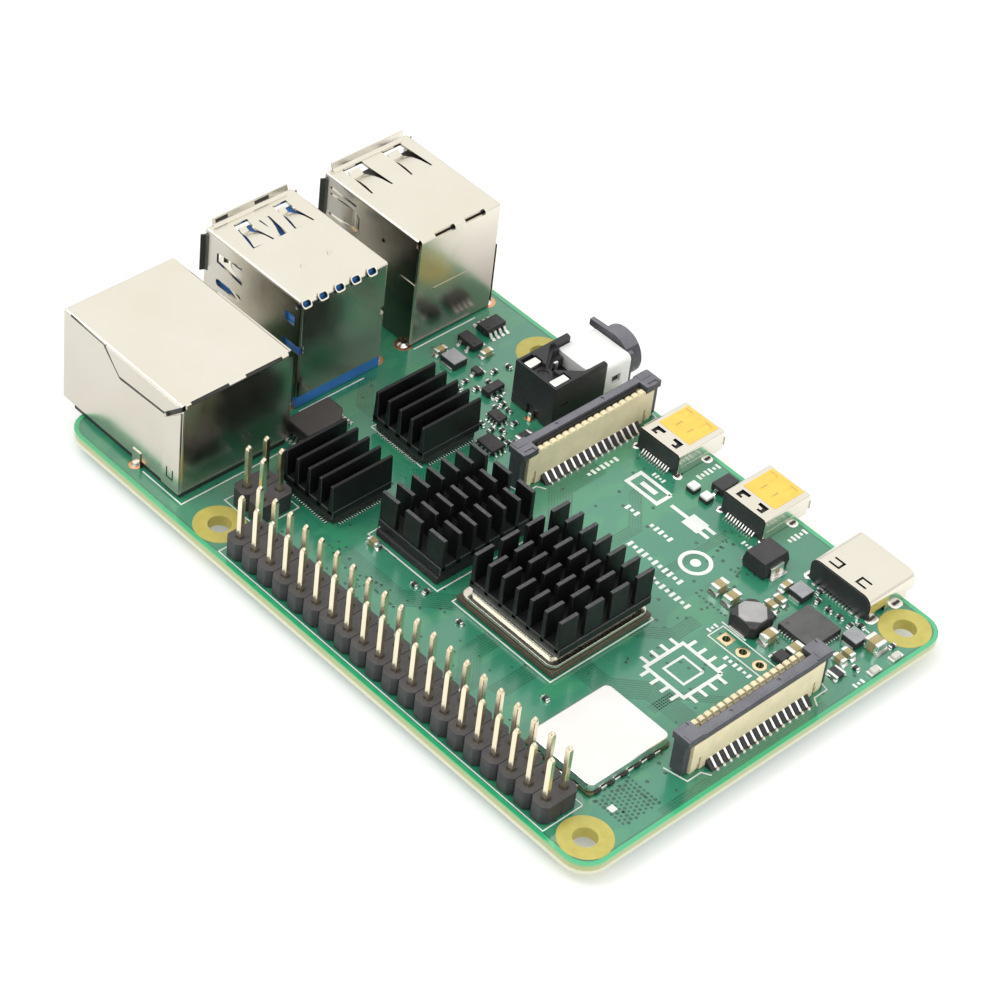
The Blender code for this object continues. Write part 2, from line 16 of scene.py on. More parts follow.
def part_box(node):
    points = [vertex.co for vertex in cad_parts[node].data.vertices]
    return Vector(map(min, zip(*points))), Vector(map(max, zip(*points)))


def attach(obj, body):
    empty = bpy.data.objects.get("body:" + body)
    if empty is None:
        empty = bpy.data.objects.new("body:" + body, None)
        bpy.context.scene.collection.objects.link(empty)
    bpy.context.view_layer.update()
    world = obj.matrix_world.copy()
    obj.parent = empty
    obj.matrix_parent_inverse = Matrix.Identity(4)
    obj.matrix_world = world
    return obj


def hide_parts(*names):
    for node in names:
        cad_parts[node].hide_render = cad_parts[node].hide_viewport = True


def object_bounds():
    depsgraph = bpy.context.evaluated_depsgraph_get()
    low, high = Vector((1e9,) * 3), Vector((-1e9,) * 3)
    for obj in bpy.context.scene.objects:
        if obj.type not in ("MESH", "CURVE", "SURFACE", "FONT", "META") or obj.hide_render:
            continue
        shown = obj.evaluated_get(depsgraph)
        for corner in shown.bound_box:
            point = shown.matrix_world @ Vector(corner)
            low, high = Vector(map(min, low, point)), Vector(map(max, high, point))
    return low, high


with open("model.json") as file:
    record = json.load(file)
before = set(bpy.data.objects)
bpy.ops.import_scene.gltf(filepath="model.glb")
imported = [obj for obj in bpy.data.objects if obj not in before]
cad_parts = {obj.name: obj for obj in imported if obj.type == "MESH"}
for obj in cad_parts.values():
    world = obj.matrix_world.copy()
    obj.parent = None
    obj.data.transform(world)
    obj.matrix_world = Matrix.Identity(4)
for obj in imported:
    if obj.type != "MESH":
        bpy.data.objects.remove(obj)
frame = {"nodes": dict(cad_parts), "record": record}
cad_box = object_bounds()

MM = 0.001
BOARD_LOW, BOARD_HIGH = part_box("circuit_board")
CORNER = Vector((BOARD_LOW.x, BOARD_LOW.y, 0.0)) / MM
LENGTH = (BOARD_HIGH.x - BOARD_LOW.x) / MM
WIDTH = (BOARD_HIGH.y - BOARD_LOW.y) / MM
LAND_HEIGHT = 0.03
TOP = BOARD_HIGH.z / MM - LAND_HEIGHT
TAIL_END = cad_box[0][2] / MM
BOARD = "board"


def cad(node):
    """A node's low and high corners in board millimetres."""
    low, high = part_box(node)
    return low / MM - CORNER, high / MM - CORNER


def middle(node):
    low, high = cad(node)
    return (low + high) / 2


# ---- shapes ----


def arc(x, y, radius, start, end, steps):
    """Points on an arc, with its angles in degrees."""
    turns = [math.radians(start + (end - start) * i / steps) for i in range(steps + 1)]
    return [(x + radius * math.cos(t), y + radius * math.sin(t)) for t in turns]


def circle(x, y, radius, steps=24):
    return arc(x, y, radius, 0, 360, steps)[:-1]


def rounded(x, y, radius, steps=5):
    """A rectangle with round corners."""
    corners = ((x[1], y[0], -90), (x[1], y[1], 0), (x[0], y[1], 90), (x[0], y[0], 180))
    outline = []
    for a, b, start in corners:
        inner_a = a - radius if a == x[1] else a + radius
        inner_b = b - radius if b == y[1] else b + radius
        outline += arc(inner_a, inner_b, radius, start, start + 90, steps)
    return outline


def around(x, y, size_x, size_y):
    return (x - size_x / 2, x + size_x / 2), (y - size_y / 2, y + size_y / 2)


PLACES = {
    "x": lambda a, b, c: (c, a, b),
    "y": lambda a, b, c: (a, c, b),
    "z": lambda a, b, c: (a, b, c),
}


class Shape:
    """Closed shapes in board millimetres that become one piece. kind is a shape's place in the piece's
    materials.
    """

    def __init__(self):
        self.bm = bmesh.new()

    def add(self, points, faces, kind=0, bevel=0.0, segments=2, edge=None):
        """bevel is the width that edges are rounded over, and edge the kind of the faces that this makes."""
        bm = bmesh.new()
        verts = [bm.verts.new(p) for p in points]
        for face in faces:
            bm.faces.new([verts[i] for i in face]).material_index = kind
        bmesh.ops.recalc_face_normals(bm, faces=bm.faces)
        if bevel:
            sharp = [e for e in bm.edges if len(e.link_faces) == 2 and e.calc_face_angle() > 0.6]
            bmesh.ops.bevel(
                bm, geom=sharp, offset=bevel, segments=segments, profile=0.5, affect="EDGES",
                clamp_overlap=True, material=-1 if edge is None else edge,
            )
        self.join(bm)

    def join(self, bm):
        spare = bpy.data.meshes.new("spare")
        bm.to_mesh(spare)
        bm.free()
        self.bm.from_mesh(spare)
        bpy.data.meshes.remove(spare)

    def loft(self, rings, **how):
        """Rings of the same number of points, joined in order and closed at both ends."""
        count = len(rings[0])
        points = [p for ring in rings for p in ring]
        faces = [
            (
                k * count + i, k * count + (i + 1) % count, (k + 1) * count + (i + 1) % count,
                (k + 1) * count + i
            )
            for k in range(len(rings) - 1)
            for i in range(count)
        ]
        last = (len(rings) - 1) * count
        faces += [tuple(range(count))[::-1], tuple(range(last, last + count))]
        self.add(points, faces, **how)

    def prism(self, outline, low, high, along="z", **how):
        """The outline, in the other two axes in their X, Y, Z order, from low to high along one axis."""
        place = PLACES[along]
        self.loft([[place(a, b, end) for a, b in outline] for end in (low, high)], **how)

    def box(self, x, y, z, **how):
        self.prism([(x[0], y[0]), (x[1], y[0]), (x[1], y[1]), (x[0], y[1])], z[0], z[1], **how)

    def block(self, x, y, size_x, size_y, z, **how):
        self.box(*around(x, y, size_x, size_y), z, **how)

    def turned(self, centre, profile, along="z", steps=24, **how):
        """A profile of (radius, height) pairs, turned round a line along one axis."""
        place = PLACES[along]
        a, b = centre
        rings = [[place(p, q, height) for p, q in circle(a, b, radius, steps)] for radius, height in profile]
        self.loft(rings, **how)

    def strip(self, path, width, thick, side, **how):
        """A bent strip of sheet: a path in a plane that side is square to, of that width along side."""
        side = Vector(side).normalized()
        path = [Vector(p) for p in path]
        rings = []
        for i, p in enumerate(path):
            before = (p - path[i - 1]).normalized() if i else (path[1] - p).normalized()
            after = (path[i + 1] - p).normalized() if i + 1 < len(path) else before
            out = (before + after).normalized().cross(side)
            out *= thick / 2 / max(0.3, out.dot(before.cross(side)))
            half = side * width / 2
            rings.append([p - half - out, p + half - out, p + half + out, p - half + out])
        self.loft(rings, **how)


def mesh_object(name, shape):
    bmesh.ops.recalc_face_normals(shape.bm, faces=shape.bm.faces)
    bmesh.ops.translate(shape.bm, verts=shape.bm.verts, vec=CORNER)
    bmesh.ops.scale(shape.bm, verts=shape.bm.verts, vec=(MM, MM, MM))
    mesh = bpy.data.meshes.new(name)
    shape.bm.to_mesh(mesh)
    shape.bm.free()
    made = bpy.data.objects.new(name, mesh)
    bpy.context.scene.collection.objects.link(made)
    return made


def carve(target, cutters):
    """Cuts the shapes out of an object's mesh."""
    helper = mesh_object("helper", cutters)
    cut = target.modifiers.new("cut", "BOOLEAN")
    cut.operation = "DIFFERENCE"
    cut.solver = "EXACT"
    cut.use_self = True
    cut.object = helper
    old = target.data
    target.data = bpy.data.meshes.new_from_object(target.evaluated_get(bpy.context.evaluated_depsgraph_get()))
    target.modifiers.clear()
    bpy.data.meshes.remove(old)
    bpy.data.meshes.remove(helper.data)


def piece(name, shape, finishes, replaces=(), body=BOARD, cuts=None):
    """One piece of the model, made from a shape, riding on a body and standing for some CAD nodes."""
    made = mesh_object(name, shape)
    for finish in finishes:
        made.data.materials.append(FINISHES[finish])
    if cuts:
        carve(made, cuts)
    made.data.shade_smooth()
    made.data.set_sharp_from_angle(angle=math.radians(38))
    made.modifiers.new("even_faces", "WEIGHTED_NORMAL").keep_sharp = True
    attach(made, body)
    if replaces:
        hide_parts(*replaces)
    return made


# ---- materials ----


class Finish:
    """One material's nodes. Places are the object's own coordinates in millimetres."""

    def __init__(self, name, roughness=0.5, metallic=0.0, **sockets):
        self.material = bpy.data.materials.new(name)
        self.material.use_nodes = True
        self.tree = self.material.node_tree
        self.shader = self.tree.nodes["Principled BSDF"]
        self.shader.inputs["Roughness"].default_value = roughness
        self.shader.inputs["Metallic"].default_value = metallic
        for socket, value in sockets.items():
            self.shader.inputs[socket.replace("_", " ")].default_value = value
        self.place = self.scaled(self.new("ShaderNodeTexCoord").outputs["Object"], (1 / MM,) * 3)

    def new(self, kind, **settings):
        node = self.tree.nodes.new(kind)
        for key, value in settings.items():
            setattr(node, key, value)
        return node

    def put(self, value, socket):
        if isinstance(value, bpy.types.NodeSocket):
            self.tree.links.new(value, socket)
        elif isinstance(value, tuple) and len(value) == 3 and socket.type == "RGBA":
            socket.default_value = (*value, 1.0)
        else:
            socket.default_value = value

    def math(self, operation, a, b=0.0, c=0.0):
        node = self.new("ShaderNodeMath", operation=operation)
        for value, socket in zip((a, b, c), node.inputs):
            self.put(value, socket)
        return node.outputs[0]

    def scaled(self, vector, scale, shift=(0.0, 0.0, 0.0), turn=(0.0, 0.0, 0.0)):
        node = self.new("ShaderNodeMapping")
        self.put(vector, node.inputs["Vector"])
        node.inputs["Scale"].default_value = scale
        node.inputs["Location"].default_value = shift
        node.inputs["Rotation"].default_value = turn
        return node.outputs[0]

    def split(self, vector):
        node = self.new("ShaderNodeSeparateXYZ")
        self.put(vector, node.inputs[0])
        return node.outputs

    def noise(self, size, detail=3.0, stretch=(1.0, 1.0, 1.0), distortion=0.0):
        """Noise whose blotches are about size millimetres across."""
        node = self.new("ShaderNodeTexNoise")
        self.put(self.scaled(self.place, tuple(s / size for s in stretch)), node.inputs["Vector"])
        node.inputs["Scale"].default_value = 1.0
        node.inputs["Detail"].default_value = detail
        node.inputs["Distortion"].default_value = distortion
        return node.outputs["Fac"]

    def ramp(self, value, *stops):
        """stops are (position, colour or grey) pairs, in order."""
        node = self.new("ShaderNodeValToRGB")
        self.put(value, node.inputs["Fac"])
        elements = node.color_ramp.elements
        while len(elements) < len(stops):
            elements.new(1.0)
        for element, (position, colour) in zip(elements, stops):
            element.position = position
            element.color = (*colour, 1.0) if isinstance(colour, tuple) else (colour, colour, colour, 1.0)
        return node.outputs["Color"]

    def mix(self, factor, a, b, blend="MIX"):
        node = self.new("ShaderNodeMix", data_type="RGBA", blend_type=blend)
        self.put(factor, node.inputs["Factor"])
        self.put(a, node.inputs[6])
        self.put(b, node.inputs[7])
        return node.outputs[2]

    def colour(self, value):
        self.put(value, self.shader.inputs["Base Color"])

    def roughness(self, value, low, high):
        """Roughness from low to high as a value goes from 0.3 to 0.7."""
        self.put(self.ramp(value, (0.3, low), (0.7, high)), self.shader.inputs["Roughness"])

    def bump(self, *heights):
        """heights are (value, depth in millimetres) pairs that are added up."""
        normal = None
        for value, depth in heights:
            node = self.new("ShaderNodeBump")
            node.inputs["Strength"].default_value = 1.0
            node.inputs["Distance"].default_value = depth * MM
            self.put(value, node.inputs["Height"])
            if normal:
                self.put(normal, node.inputs["Normal"])
            normal = node.outputs["Normal"]
        self.put(normal, self.shader.inputs["Normal"])


def moulded(
    name, colour, roughness=0.5, shade=0.75, speckle=0.0, grain=0.12, depth=0.006, top=None, **sockets
):
    """Moulded plastic, ferrite or ceramic: cloudy colour, fine grain, pale specks, and a painted highlight: a
    lighter colour on top faces.
    """
    f = Finish(name, roughness, **sockets)
    # top faces get the top colour: a painted highlight where the light falls on them
    if top:
        upright = f.split(f.new("ShaderNodeNewGeometry").outputs["Normal"])[2]
        colour = f.mix(f.math("GREATER_THAN", upright, 0.7), colour, top)
    mixed = f.mix(1.0, colour, f.ramp(f.noise(2.5), (0.35, shade), (0.65, 1.0)), "MULTIPLY")
    if speckle:
        specks = f.ramp(f.noise(0.16, 2.0), (0.56, 0.0), (0.68, speckle * 0.14))
        mixed = f.mix(1.0, mixed, specks, "ADD")
    f.colour(mixed)
    f.roughness(f.noise(0.8), roughness - 0.08, roughness + 0.1)
    f.bump((f.noise(grain, 2.0), depth))
    return f.material


def metal(
    name, colour, roughness=0.25, tint=0.97, brushed=(1.0, 1.0, 1.0), depth=0.002, shade_painted_sides=False, **sockets
):
    """Plated sheet or solder: faint tarnish, smudges that change its gloss, and a rolled grain; upright sides
    can also get painted shade.
    """
    f = Finish(name, roughness, 1.0, **sockets)
    tarnish = f.ramp(f.noise(7.0, 4.0), (0.3, 0.0), (0.7, 1.0))
    plated = f.mix(tarnish, tuple(c * t for c, t in zip(colour, (tint, tint * 0.985, tint * 0.95))), colour)
    if shade_painted_sides:
        # Painted shade on upright sheet: sides facing +Y are darkened, towards the header by how near it is
        # to it, towards the card end low down; rear faces facing -X past X 30 get a darker painted reflection
        # low down.
        normal = f.split(f.new("ShaderNodeNewGeometry").outputs["Normal"])
        x, y, z = f.split(f.place)
        side_shade = f.ramp(f.math("MULTIPLY_ADD", y, 1 / 60, 0.5), (0.28, 0.40), (0.45, 0.60), (0.9, 0.76))
        shade = f.ramp(f.math("MULTIPLY_ADD", x, 1 / 20, -1.9), (0.0, 0.28), (0.6, 1.1))
        side_shade = f.mix(f.math("LESS_THAN", y, 8.0), side_shade, f.mix(1.0, side_shade, shade, "MULTIPLY"))
        plated = f.mix(f.math("GREATER_THAN", normal[1], 0.8), plated, f.mix(1.0, plated, side_shade, "MULTIPLY"))
        rear = f.math("MULTIPLY", f.math("LESS_THAN", normal[0], -0.8), f.math("GREATER_THAN", x, 30.0))
        low = f.math("MULTIPLY", rear, f.ramp(f.math("DIVIDE", z, 18.0), (0.35, 1.0), (0.95, 0.0)))
        plated = f.mix(low, plated, f.mix(1.0, plated, (0.56, 0.52, 0.53), "MULTIPLY"))
    f.colour(plated)
    f.roughness(f.noise(1.6, 4.0), roughness * 0.88, roughness * 1.15)
    f.bump((f.noise(0.35, 3.0, brushed), depth), (f.noise(6.0, 1.0), depth * 10))
    return f.material


HOLE_X, HOLE_Y = 29.0, 24.5
CENTRE_X = LENGTH / 2 + CORNER.x
CENTRE_Y = WIDTH / 2 + CORNER.y


def solder_mask():
    """Green mask over copper, its bare rim, the yellow laminate edge, and the plated lands of the four
    holes.
    """
    f = Finish("solder_mask", 0.3, Coat_Weight=1.0, Coat_Roughness=0.16, Coat_IOR=1.65)
    x, y, z = f.split(f.place)
    green = f.mix(
        f.ramp(f.noise(16.0, 2.0), (0.35, 0.0), (0.65, 1.0)), (0.018, 0.200, 0.112), (0.030, 0.235, 0.135)
    )
    patches = f.ramp(f.noise(3.0, 1.0, (1.0, 0.5, 1.0)), (0.56, 0.0), (0.60, 1.0))
    green = f.mix(f.math("MULTIPLY", patches, 0.4), green, (0.050, 0.29, 0.13))

    def beyond(value, centre, half):
        return f.math(
            "MAXIMUM", f.math("SUBTRACT", f.math("ABSOLUTE", f.math("SUBTRACT", value, centre)), half), 0.0
        )

    def length(a, b):
        return f.math("SQRT", f.math("ADD", f.math("MULTIPLY", a, a), f.math("MULTIPLY", b, b)))

    edge = length(beyond(x, CENTRE_X, LENGTH / 2 - 3.0), beyond(y, CENTRE_Y, WIDTH / 2 - 3.0))
    green = f.mix(f.math("GREATER_THAN", edge, 2.5), green, (0.025, 0.42, 0.17))

    far_x = f.math("SUBTRACT", f.math("ABSOLUTE", x), HOLE_X)
    far_y = f.math("SUBTRACT", f.math("ABSOLUTE", y), HOLE_Y)
    land = f.math("LESS_THAN", length(far_x, far_y), 3.02)
    ring = f.mix(f.noise(1.2, 4.0), (0.40, 0.35, 0.07), (0.56, 0.50, 0.13))
    faces = f.mix(land, green, ring)

    upright = f.split(f.new("ShaderNodeNewGeometry").outputs["Normal"])[2]
    side = f.math("LESS_THAN", f.math("ABSOLUTE", upright), 0.5)
    weave = f.noise(0.22, 2.0, (1.0, 1.0, 2.2))
    core = f.mix(weave, (0.56, 0.57, 0.40), (0.70, 0.71, 0.54))
    core = f.mix(f.ramp(f.math("DIVIDE", z, TOP), (0.28, 0.0), (0.45, 0.95)), core, (0.34, 0.38, 0.11))
    rim = f.math("GREATER_THAN", z, TOP - 0.3)
    core = f.mix(f.math("MULTIPLY", rim, 0.85), core, (0.10, 0.42, 0.16))
    f.put(f.math("SUBTRACT", 1.0, land), f.shader.inputs["Coat Weight"])
    f.colour(f.mix(f.math("MULTIPLY", side, f.math("SUBTRACT", 1.0, land)), faces, core))
    f.roughness(
        f.math("ADD", f.math("MULTIPLY", side, 0.4), f.math("MULTIPLY", f.noise(2.0), 0.6)), 0.24, 0.42
    )
    f.bump((f.noise(0.5, 2.0), 0.004), (f.noise(2.2, 2.0), 0.006))
    return f.material


def make_finishes():
    made = {
        "solder_mask": solder_mask(),
        "header_plastic": moulded(
            "header_plastic", (0.030, 0.031, 0.035), 0.5, speckle=0.12, top=(0.066, 0.063, 0.066)
        ),
        # nickel carries painted shade on its upright sides
        "nickel": metal("nickel", (0.80, 0.77, 0.69), 0.22, depth=0.0003, shade_painted_sides=True),
        "nickel_cut": metal("nickel_cut", (0.55, 0.52, 0.47), 0.45),
        "pin_plating": metal("pin_plating", (0.88, 0.80, 0.62), 0.22, brushed=(1.0, 1.0, 0.3)),
        "gold": metal("gold", (0.90, 0.70, 0.36), 0.24),
        "copper": metal("copper", (0.80, 0.42, 0.24), 0.34),
        "solder": metal("solder", (0.80, 0.80, 0.80), 0.24, depth=0.006),
        "black_plastic": moulded("black_plastic", (0.018, 0.019, 0.021), 0.42, speckle=0.12),
        "blue_plastic": moulded("blue_plastic", (0.040, 0.21, 0.62), 0.42),
        "cream_plastic": moulded("cream_plastic", (0.78, 0.70, 0.47), 0.42, shade=0.88, speckle=0.2),
        "latch_plastic": moulded(
            "latch_plastic", (0.045, 0.050, 0.060), 0.5, speckle=0.35, top=(0.160, 0.162, 0.190)
        ),
        "white_plastic": moulded("white_plastic", (0.86, 0.87, 0.86), 0.4, shade=0.92),
        "black_anodised": moulded(
            "black_anodised", (0.0055, 0.006, 0.007), 0.42, speckle=0.06, Specular_IOR_Level=0.35
        ),
        # darkened nickel: painted shade on the backs of the flared side flanges
        "shadowed_nickel": metal("shadowed_nickel", (0.16, 0.155, 0.15), 0.4),
        # grey for heat-sink fin tops and bevels: a painted highlight
        "fin_highlight": moulded("fin_highlight", (0.05, 0.052, 0.056), 0.36, speckle=0.5),
        "package_green": moulded("package_green", (0.115, 0.125, 0.045), 0.4, speckle=0.2),
        "package_brown": moulded("package_brown", (0.075, 0.058, 0.032), 0.4, speckle=0.3),
        "bright_tin": metal("bright_tin", (0.93, 0.93, 0.93), 0.3, depth=0.0003),
        "chip_black": moulded(
            "chip_black", (0.018, 0.020, 0.022), 0.55, speckle=0.12, top=(0.040, 0.040, 0.042)
        ),
        "grey_ferrite": moulded(
            "grey_ferrite", (0.20, 0.21, 0.23), 0.55, speckle=0.5, top=(0.36, 0.37, 0.39)
        ),
        "thermal_pad": moulded("thermal_pad", (0.36, 0.39, 0.43), 0.75, speckle=0.4),
        "clear_light": moulded("clear_light", (0.80, 0.80, 0.72), 0.2, shade=0.9, Transmission_Weight=0.3),
        "polyimide": moulded("polyimide", (0.86, 0.56, 0.075), 0.3, shade=0.9, Coat_Weight=0.4),
        "beige_ceramic": moulded("beige_ceramic", (0.40, 0.33, 0.16), 0.5, speckle=0.2),
        "white_ink": moulded("white_ink", (0.80, 0.84, 0.80), 0.6, shade=0.86),
        "bare_mask": moulded(
            "bare_mask", (0.012, 0.165, 0.085), 0.28, Coat_Weight=1.0, Coat_IOR=1.75, Coat_Roughness=0.16
        ),
        "tented_via": moulded("tented_via", (0.010, 0.095, 0.055), 0.3, Coat_Weight=1.0),
        "ground_ferrite": moulded(
            "ground_ferrite", (0.40, 0.40, 0.40), 0.5, shade=0.8, speckle=0.3, grain=0.3, depth=0.02
        ),
        "pale_gold": metal("pale_gold", (1.0, 0.76, 0.50), 0.3),
        # a black chip whose grey top is a painted sheen
        "chip_sheen_top": moulded(
            "chip_sheen_top", (0.018, 0.020, 0.022), 0.55, speckle=0.12, top=(0.095, 0.096, 0.096)
        ),
        "chip_brown": moulded("chip_brown", (0.022, 0.021, 0.021), 0.45, top=(0.046, 0.040, 0.038)),
    }
    return made


FINISHES = make_finishes()


# ---- camera, lights and floor ----


def make_studio():
    camera = bpy.data.objects.new("camera", bpy.data.cameras.new("camera"))
    camera.data.lens = 116.16
    camera.data.sensor_width = 36.0
    camera.data.clip_start = 0.01
    camera.location = (-0.16589, 0.19630, 0.24446)
    camera.rotation_euler = (0.82977, -0.09625, 3.96112)
    bpy.context.scene.collection.objects.link(camera)
    bpy.context.scene.camera = camera

    floor_mesh = bpy.data.meshes.new("floor")
    reach, level = 3.0, TAIL_END * MM
    corners = [(-reach, -reach, level), (reach, -reach, level), (reach, reach, level), (-reach, reach, level)]
    floor_mesh.from_pydata(corners, [], [(0, 1, 2, 3)])
    floor = bpy.data.objects.new("floor", floor_mesh)
    bpy.context.scene.collection.objects.link(floor)
    f = Finish("floor", 0.7)
    f.colour(f.mix(f.noise(60.0), (0.70, 0.70, 0.70), (0.73, 0.73, 0.73)))
    f.shader.inputs["Emission Color"].default_value = (1.0, 1.0, 1.0, 1.0)
    f.shader.inputs["Emission Strength"].default_value = 0.26
    floor_mesh.materials.append(f.material)

    world = bpy.data.worlds.new("studio")
    bpy.context.scene.world = world
    world.use_nodes = True
    nodes, links = world.node_tree.nodes, world.node_tree.links
    height = nodes.new("ShaderNodeSeparateXYZ")
    links.new(nodes.new("ShaderNodeTexCoord").outputs["Generated"], height.inputs[0])
    ramp = nodes.new("ShaderNodeValToRGB")
    ramp.color_ramp.elements[0].position = 0.02
    ramp.color_ramp.elements[0].color = (0.62, 0.62, 0.62, 1)
    ramp.color_ramp.elements[1].position = 0.45
    ramp.color_ramp.elements[1].color = (1.0, 0.985, 0.955, 1)
    links.new(height.outputs[2], ramp.inputs[0])
    links.new(ramp.outputs[0], nodes["Background"].inputs["Color"])
    nodes["Background"].inputs["Strength"].default_value = 1.12

    def lamp(name, place, size, watts):
        light = bpy.data.lights.new(name, "AREA")
        light.energy = watts
        light.size = size
        made = bpy.data.objects.new(name, light)
        made.location = place
        made.rotation_euler = (-Vector(place)).to_track_quat("-Z", "Y").to_euler()
        bpy.context.scene.collection.objects.link(made)

    lamp("key", (0.35, 0.35, 0.80), 0.5, 2.6)
    lamp("fill", (-0.80, -0.10, 0.60), 0.8, 1.6)
    bpy.context.scene.view_settings.view_transform = "Standard"


make_studio()


# ---- pressed sheet ----

WALL = 0.3
FOLD = 0.4


def tongue(shape, root, tip, widths, dip, normal="z", kind=0):
    """A pressed spring: a strip that leaves the sheet at root, narrows, dips below it and turns up at
    its tip.

    root and tip are outer-face points. normal is the axis square to the sheet and dip is signed along it.
    """
    root, tip = Vector(root), Vector(tip)
    along = (tip - root).normalized()
    inward = Vector(PLACES[normal](0, 0, 1)) * dip
    across = along.cross(Vector(PLACES[normal](0, 0, 1)))
    rings = []
    for t, drop in (
        (0.0, 0.0), (0.3, 0.06), (0.55, 0.35), (0.72, 0.8), (0.82, 1.0), (0.92, 0.85), (1.0, 0.45)
    ):
        width = widths[0] + (widths[1] - widths[0]) * min(1.0, t / 0.75)
        centre = root.lerp(tip, t) + inward * drop
        half = across * width / 2
        skin = inward.normalized() * 0.22
        rings.append([centre - half, centre + half, centre + half + skin, centre - half + skin])
    shape.loft(rings, kind=kind)


def spring_window(root, tip, widths, margin):
    """Points of the opening round a spring."""
    (a0, b0), (a1, b1) = root, tip
    sign = 1 if a1 > a0 else -1
    near, far = widths[0] / 2 + 0.22, widths[1] / 2 + margin
    end = a1 + sign * 0.35
    mid = a0 + (a1 - a0) * 0.62
    return [
        (a0, b0 - near), (mid, b0 - far), (end, b1 - far), (end, b1 + far), (mid, b0 + far), (a0, b0 + near)
    ]


# ---- network jack ----


def make_ethernet_jack():
    low, high = cad("ethernet_shell")
    x, y, top = (low.x, high.x), (low.y, high.y), high.z
    floor = TOP + 0.6
    step = 0.14
    shell, shadow_fill = Shape(), Shape()
    shell.box(x, (y[0] + step, y[1] - step), (floor, top), bevel=FOLD, segments=3)
    cuts = Shape()
    cuts.box((x[0] + WALL, x[1] + 1), (y[0] + step + WALL, y[1] - step - WALL), (0.0, top - WALL))
    folds = Shape()
    h = TOP
    for side, at in ((1, y[1]), (-1, y[0])):
        inner = at - side * 0.6
        flap = [(80.5, h + 13.35), (67.75, h + 13.35), (70.2, h + 11.0), (78.1, h + 10.65)]
        wrap = [(67.3, h + 12.6), (69.9, h + 10.45), (70.3, h + 10.3), (70.3, h + 0.7), (67.3, h + 0.7)]
        for outline, edge in ((flap, 0.05), (wrap, 0.05)):
            folds.prism(outline, min(at, inner), max(at, inner), "y", bevel=edge)
        path = [(86.9, at, h + 13.28), (80.8, at, h + 13.15), (77.95, at, h + 10.38), (70.2, at, h + 10.75)]
        cuts.strip(path[1:], 1.6, 0.46, (0, 1, 0))
        # black strips behind the seam slits: painted shadow in the slits
        deep = [(a, at - side * 0.32, z) for a, b, z in path]
        shadow_fill.strip(deep[1:], 0.3, 0.6, (0, 1, 0))
        if side > 0:
            cuts.strip(path[:2], 1.6, 0.14, (0, 1, 0))
            shadow_fill.strip(deep[:2], 0.2, 0.3, (0, 1, 0))
        cuts.strip([(70.0, at, h + 10.7), (67.1, at, h + 13.35)], 1.6, 0.55, (0, 1, 0))
        latch = [(69.35, at, h + 3.6), (69.35, at, h + 2.2), (68.35, at, h + 2.2), (68.35, at, h + 3.6)]
        cuts.strip(latch, 1.6, 0.2, (0, 1, 0))
        for a in (74.0,):
            folds.box(
                (a, a + 1.4), (min(at, at - side * 0.35), max(at, at - side * 0.35)), (TAIL_END, h + 2.0)
            )
    middle_y = (y[0] + y[1]) / 2
    # black blocks behind the rear cut-outs: painted shadow in them
    for a, b in ((52.3, 47.0), (44.65, 39.45)):
        cuts.box((x[0] - 1, x[0] + 0.3), (b, a), (top - 0.3, top + 1))
        shadow_fill.box((x[0] + 0.01, x[0] + 0.36), (b - 0.05, a + 0.05), (top - 0.5, top - 0.25))
    cuts.box((x[0] - 1, x[0] + 0.4), (y[0] - 1, y[0] + 0.75), (top - 0.6, top + 1))
    shell.join(folds.bm)
    piece("ethernet_shield", shell, ["nickel"], ["ethernet_shell"], cuts=cuts)
    # a black block under the raised shell: painted shadow of the gap under it
    shadow_fill.box((x[0] + 0.25, x[1] - 2.0), (y[0] + 0.4, y[1] - 0.4), (TOP + 0.03, floor + 0.3))
    piece("ethernet_shadow_fill", shadow_fill, ["black_plastic"])

    low, high = cad("ethernet_insert")
    body, room = Shape(), Shape()
    body.box((low.x, high.x), (low.y, high.y), (low.z, high.z), bevel=0.15)
    front = high.x + 1.0
    room.box((75.3, front), (middle_y - 5.95, middle_y + 5.95), (4.3, 11.0))
    room.box((75.3, front), (middle_y - 3.1, middle_y + 3.1), (2.7, 5.0))
    room.box((75.3, 84.5), (middle_y - 4.6, middle_y + 4.6), (10.0, 11.9))
    for side in (-1, 1):
        lens = middle_y + side * 5.45
        room.box((85.0, front), (lens - 2.0, lens + 2.0), (1.95, 3.95))
    for i in range(8):
        a = middle_y + 1.016 * (i - 3.5)
        room.box((83.5, front - 0.8), (a - 0.32, a + 0.32), (10.5, 11.5))
    piece("ethernet_body", body, ["black_plastic"], ["ethernet_insert"], cuts=room)
    fingers = Shape()
    for i in range(8):
        a = middle_y + 1.016 * (i - 3.5)
        path = [(75.8, a, 11.4), (77.0, a, 11.25), (83.6, a, 9.7), (84.1, a, 9.45), (84.3, a, 9.75)]
        fingers.strip(path, 0.46, 0.26, (0, 1, 0), bevel=0.05)
    fingers.box((75.6, 76.4), (middle_y - 4.3, middle_y + 4.3), (11.0, 11.7), bevel=0.1)
    piece("ethernet_fingers", fingers, ["gold"], ["ethernet_contacts"])
    for name in ("ethernet_light_left", "ethernet_light_right"):
        low, high = cad(name)
        lens = Shape()
        lens.box((low.x, high.x), (low.y, high.y), (low.z, high.z), bevel=0.25, segments=3)
        piece(name + "_lens", lens, ["clear_light"], [name])


# ---- stacked sockets ----


USB_CHAIN = (32.95, 30.52, 28.06, 25.66, 23.25)


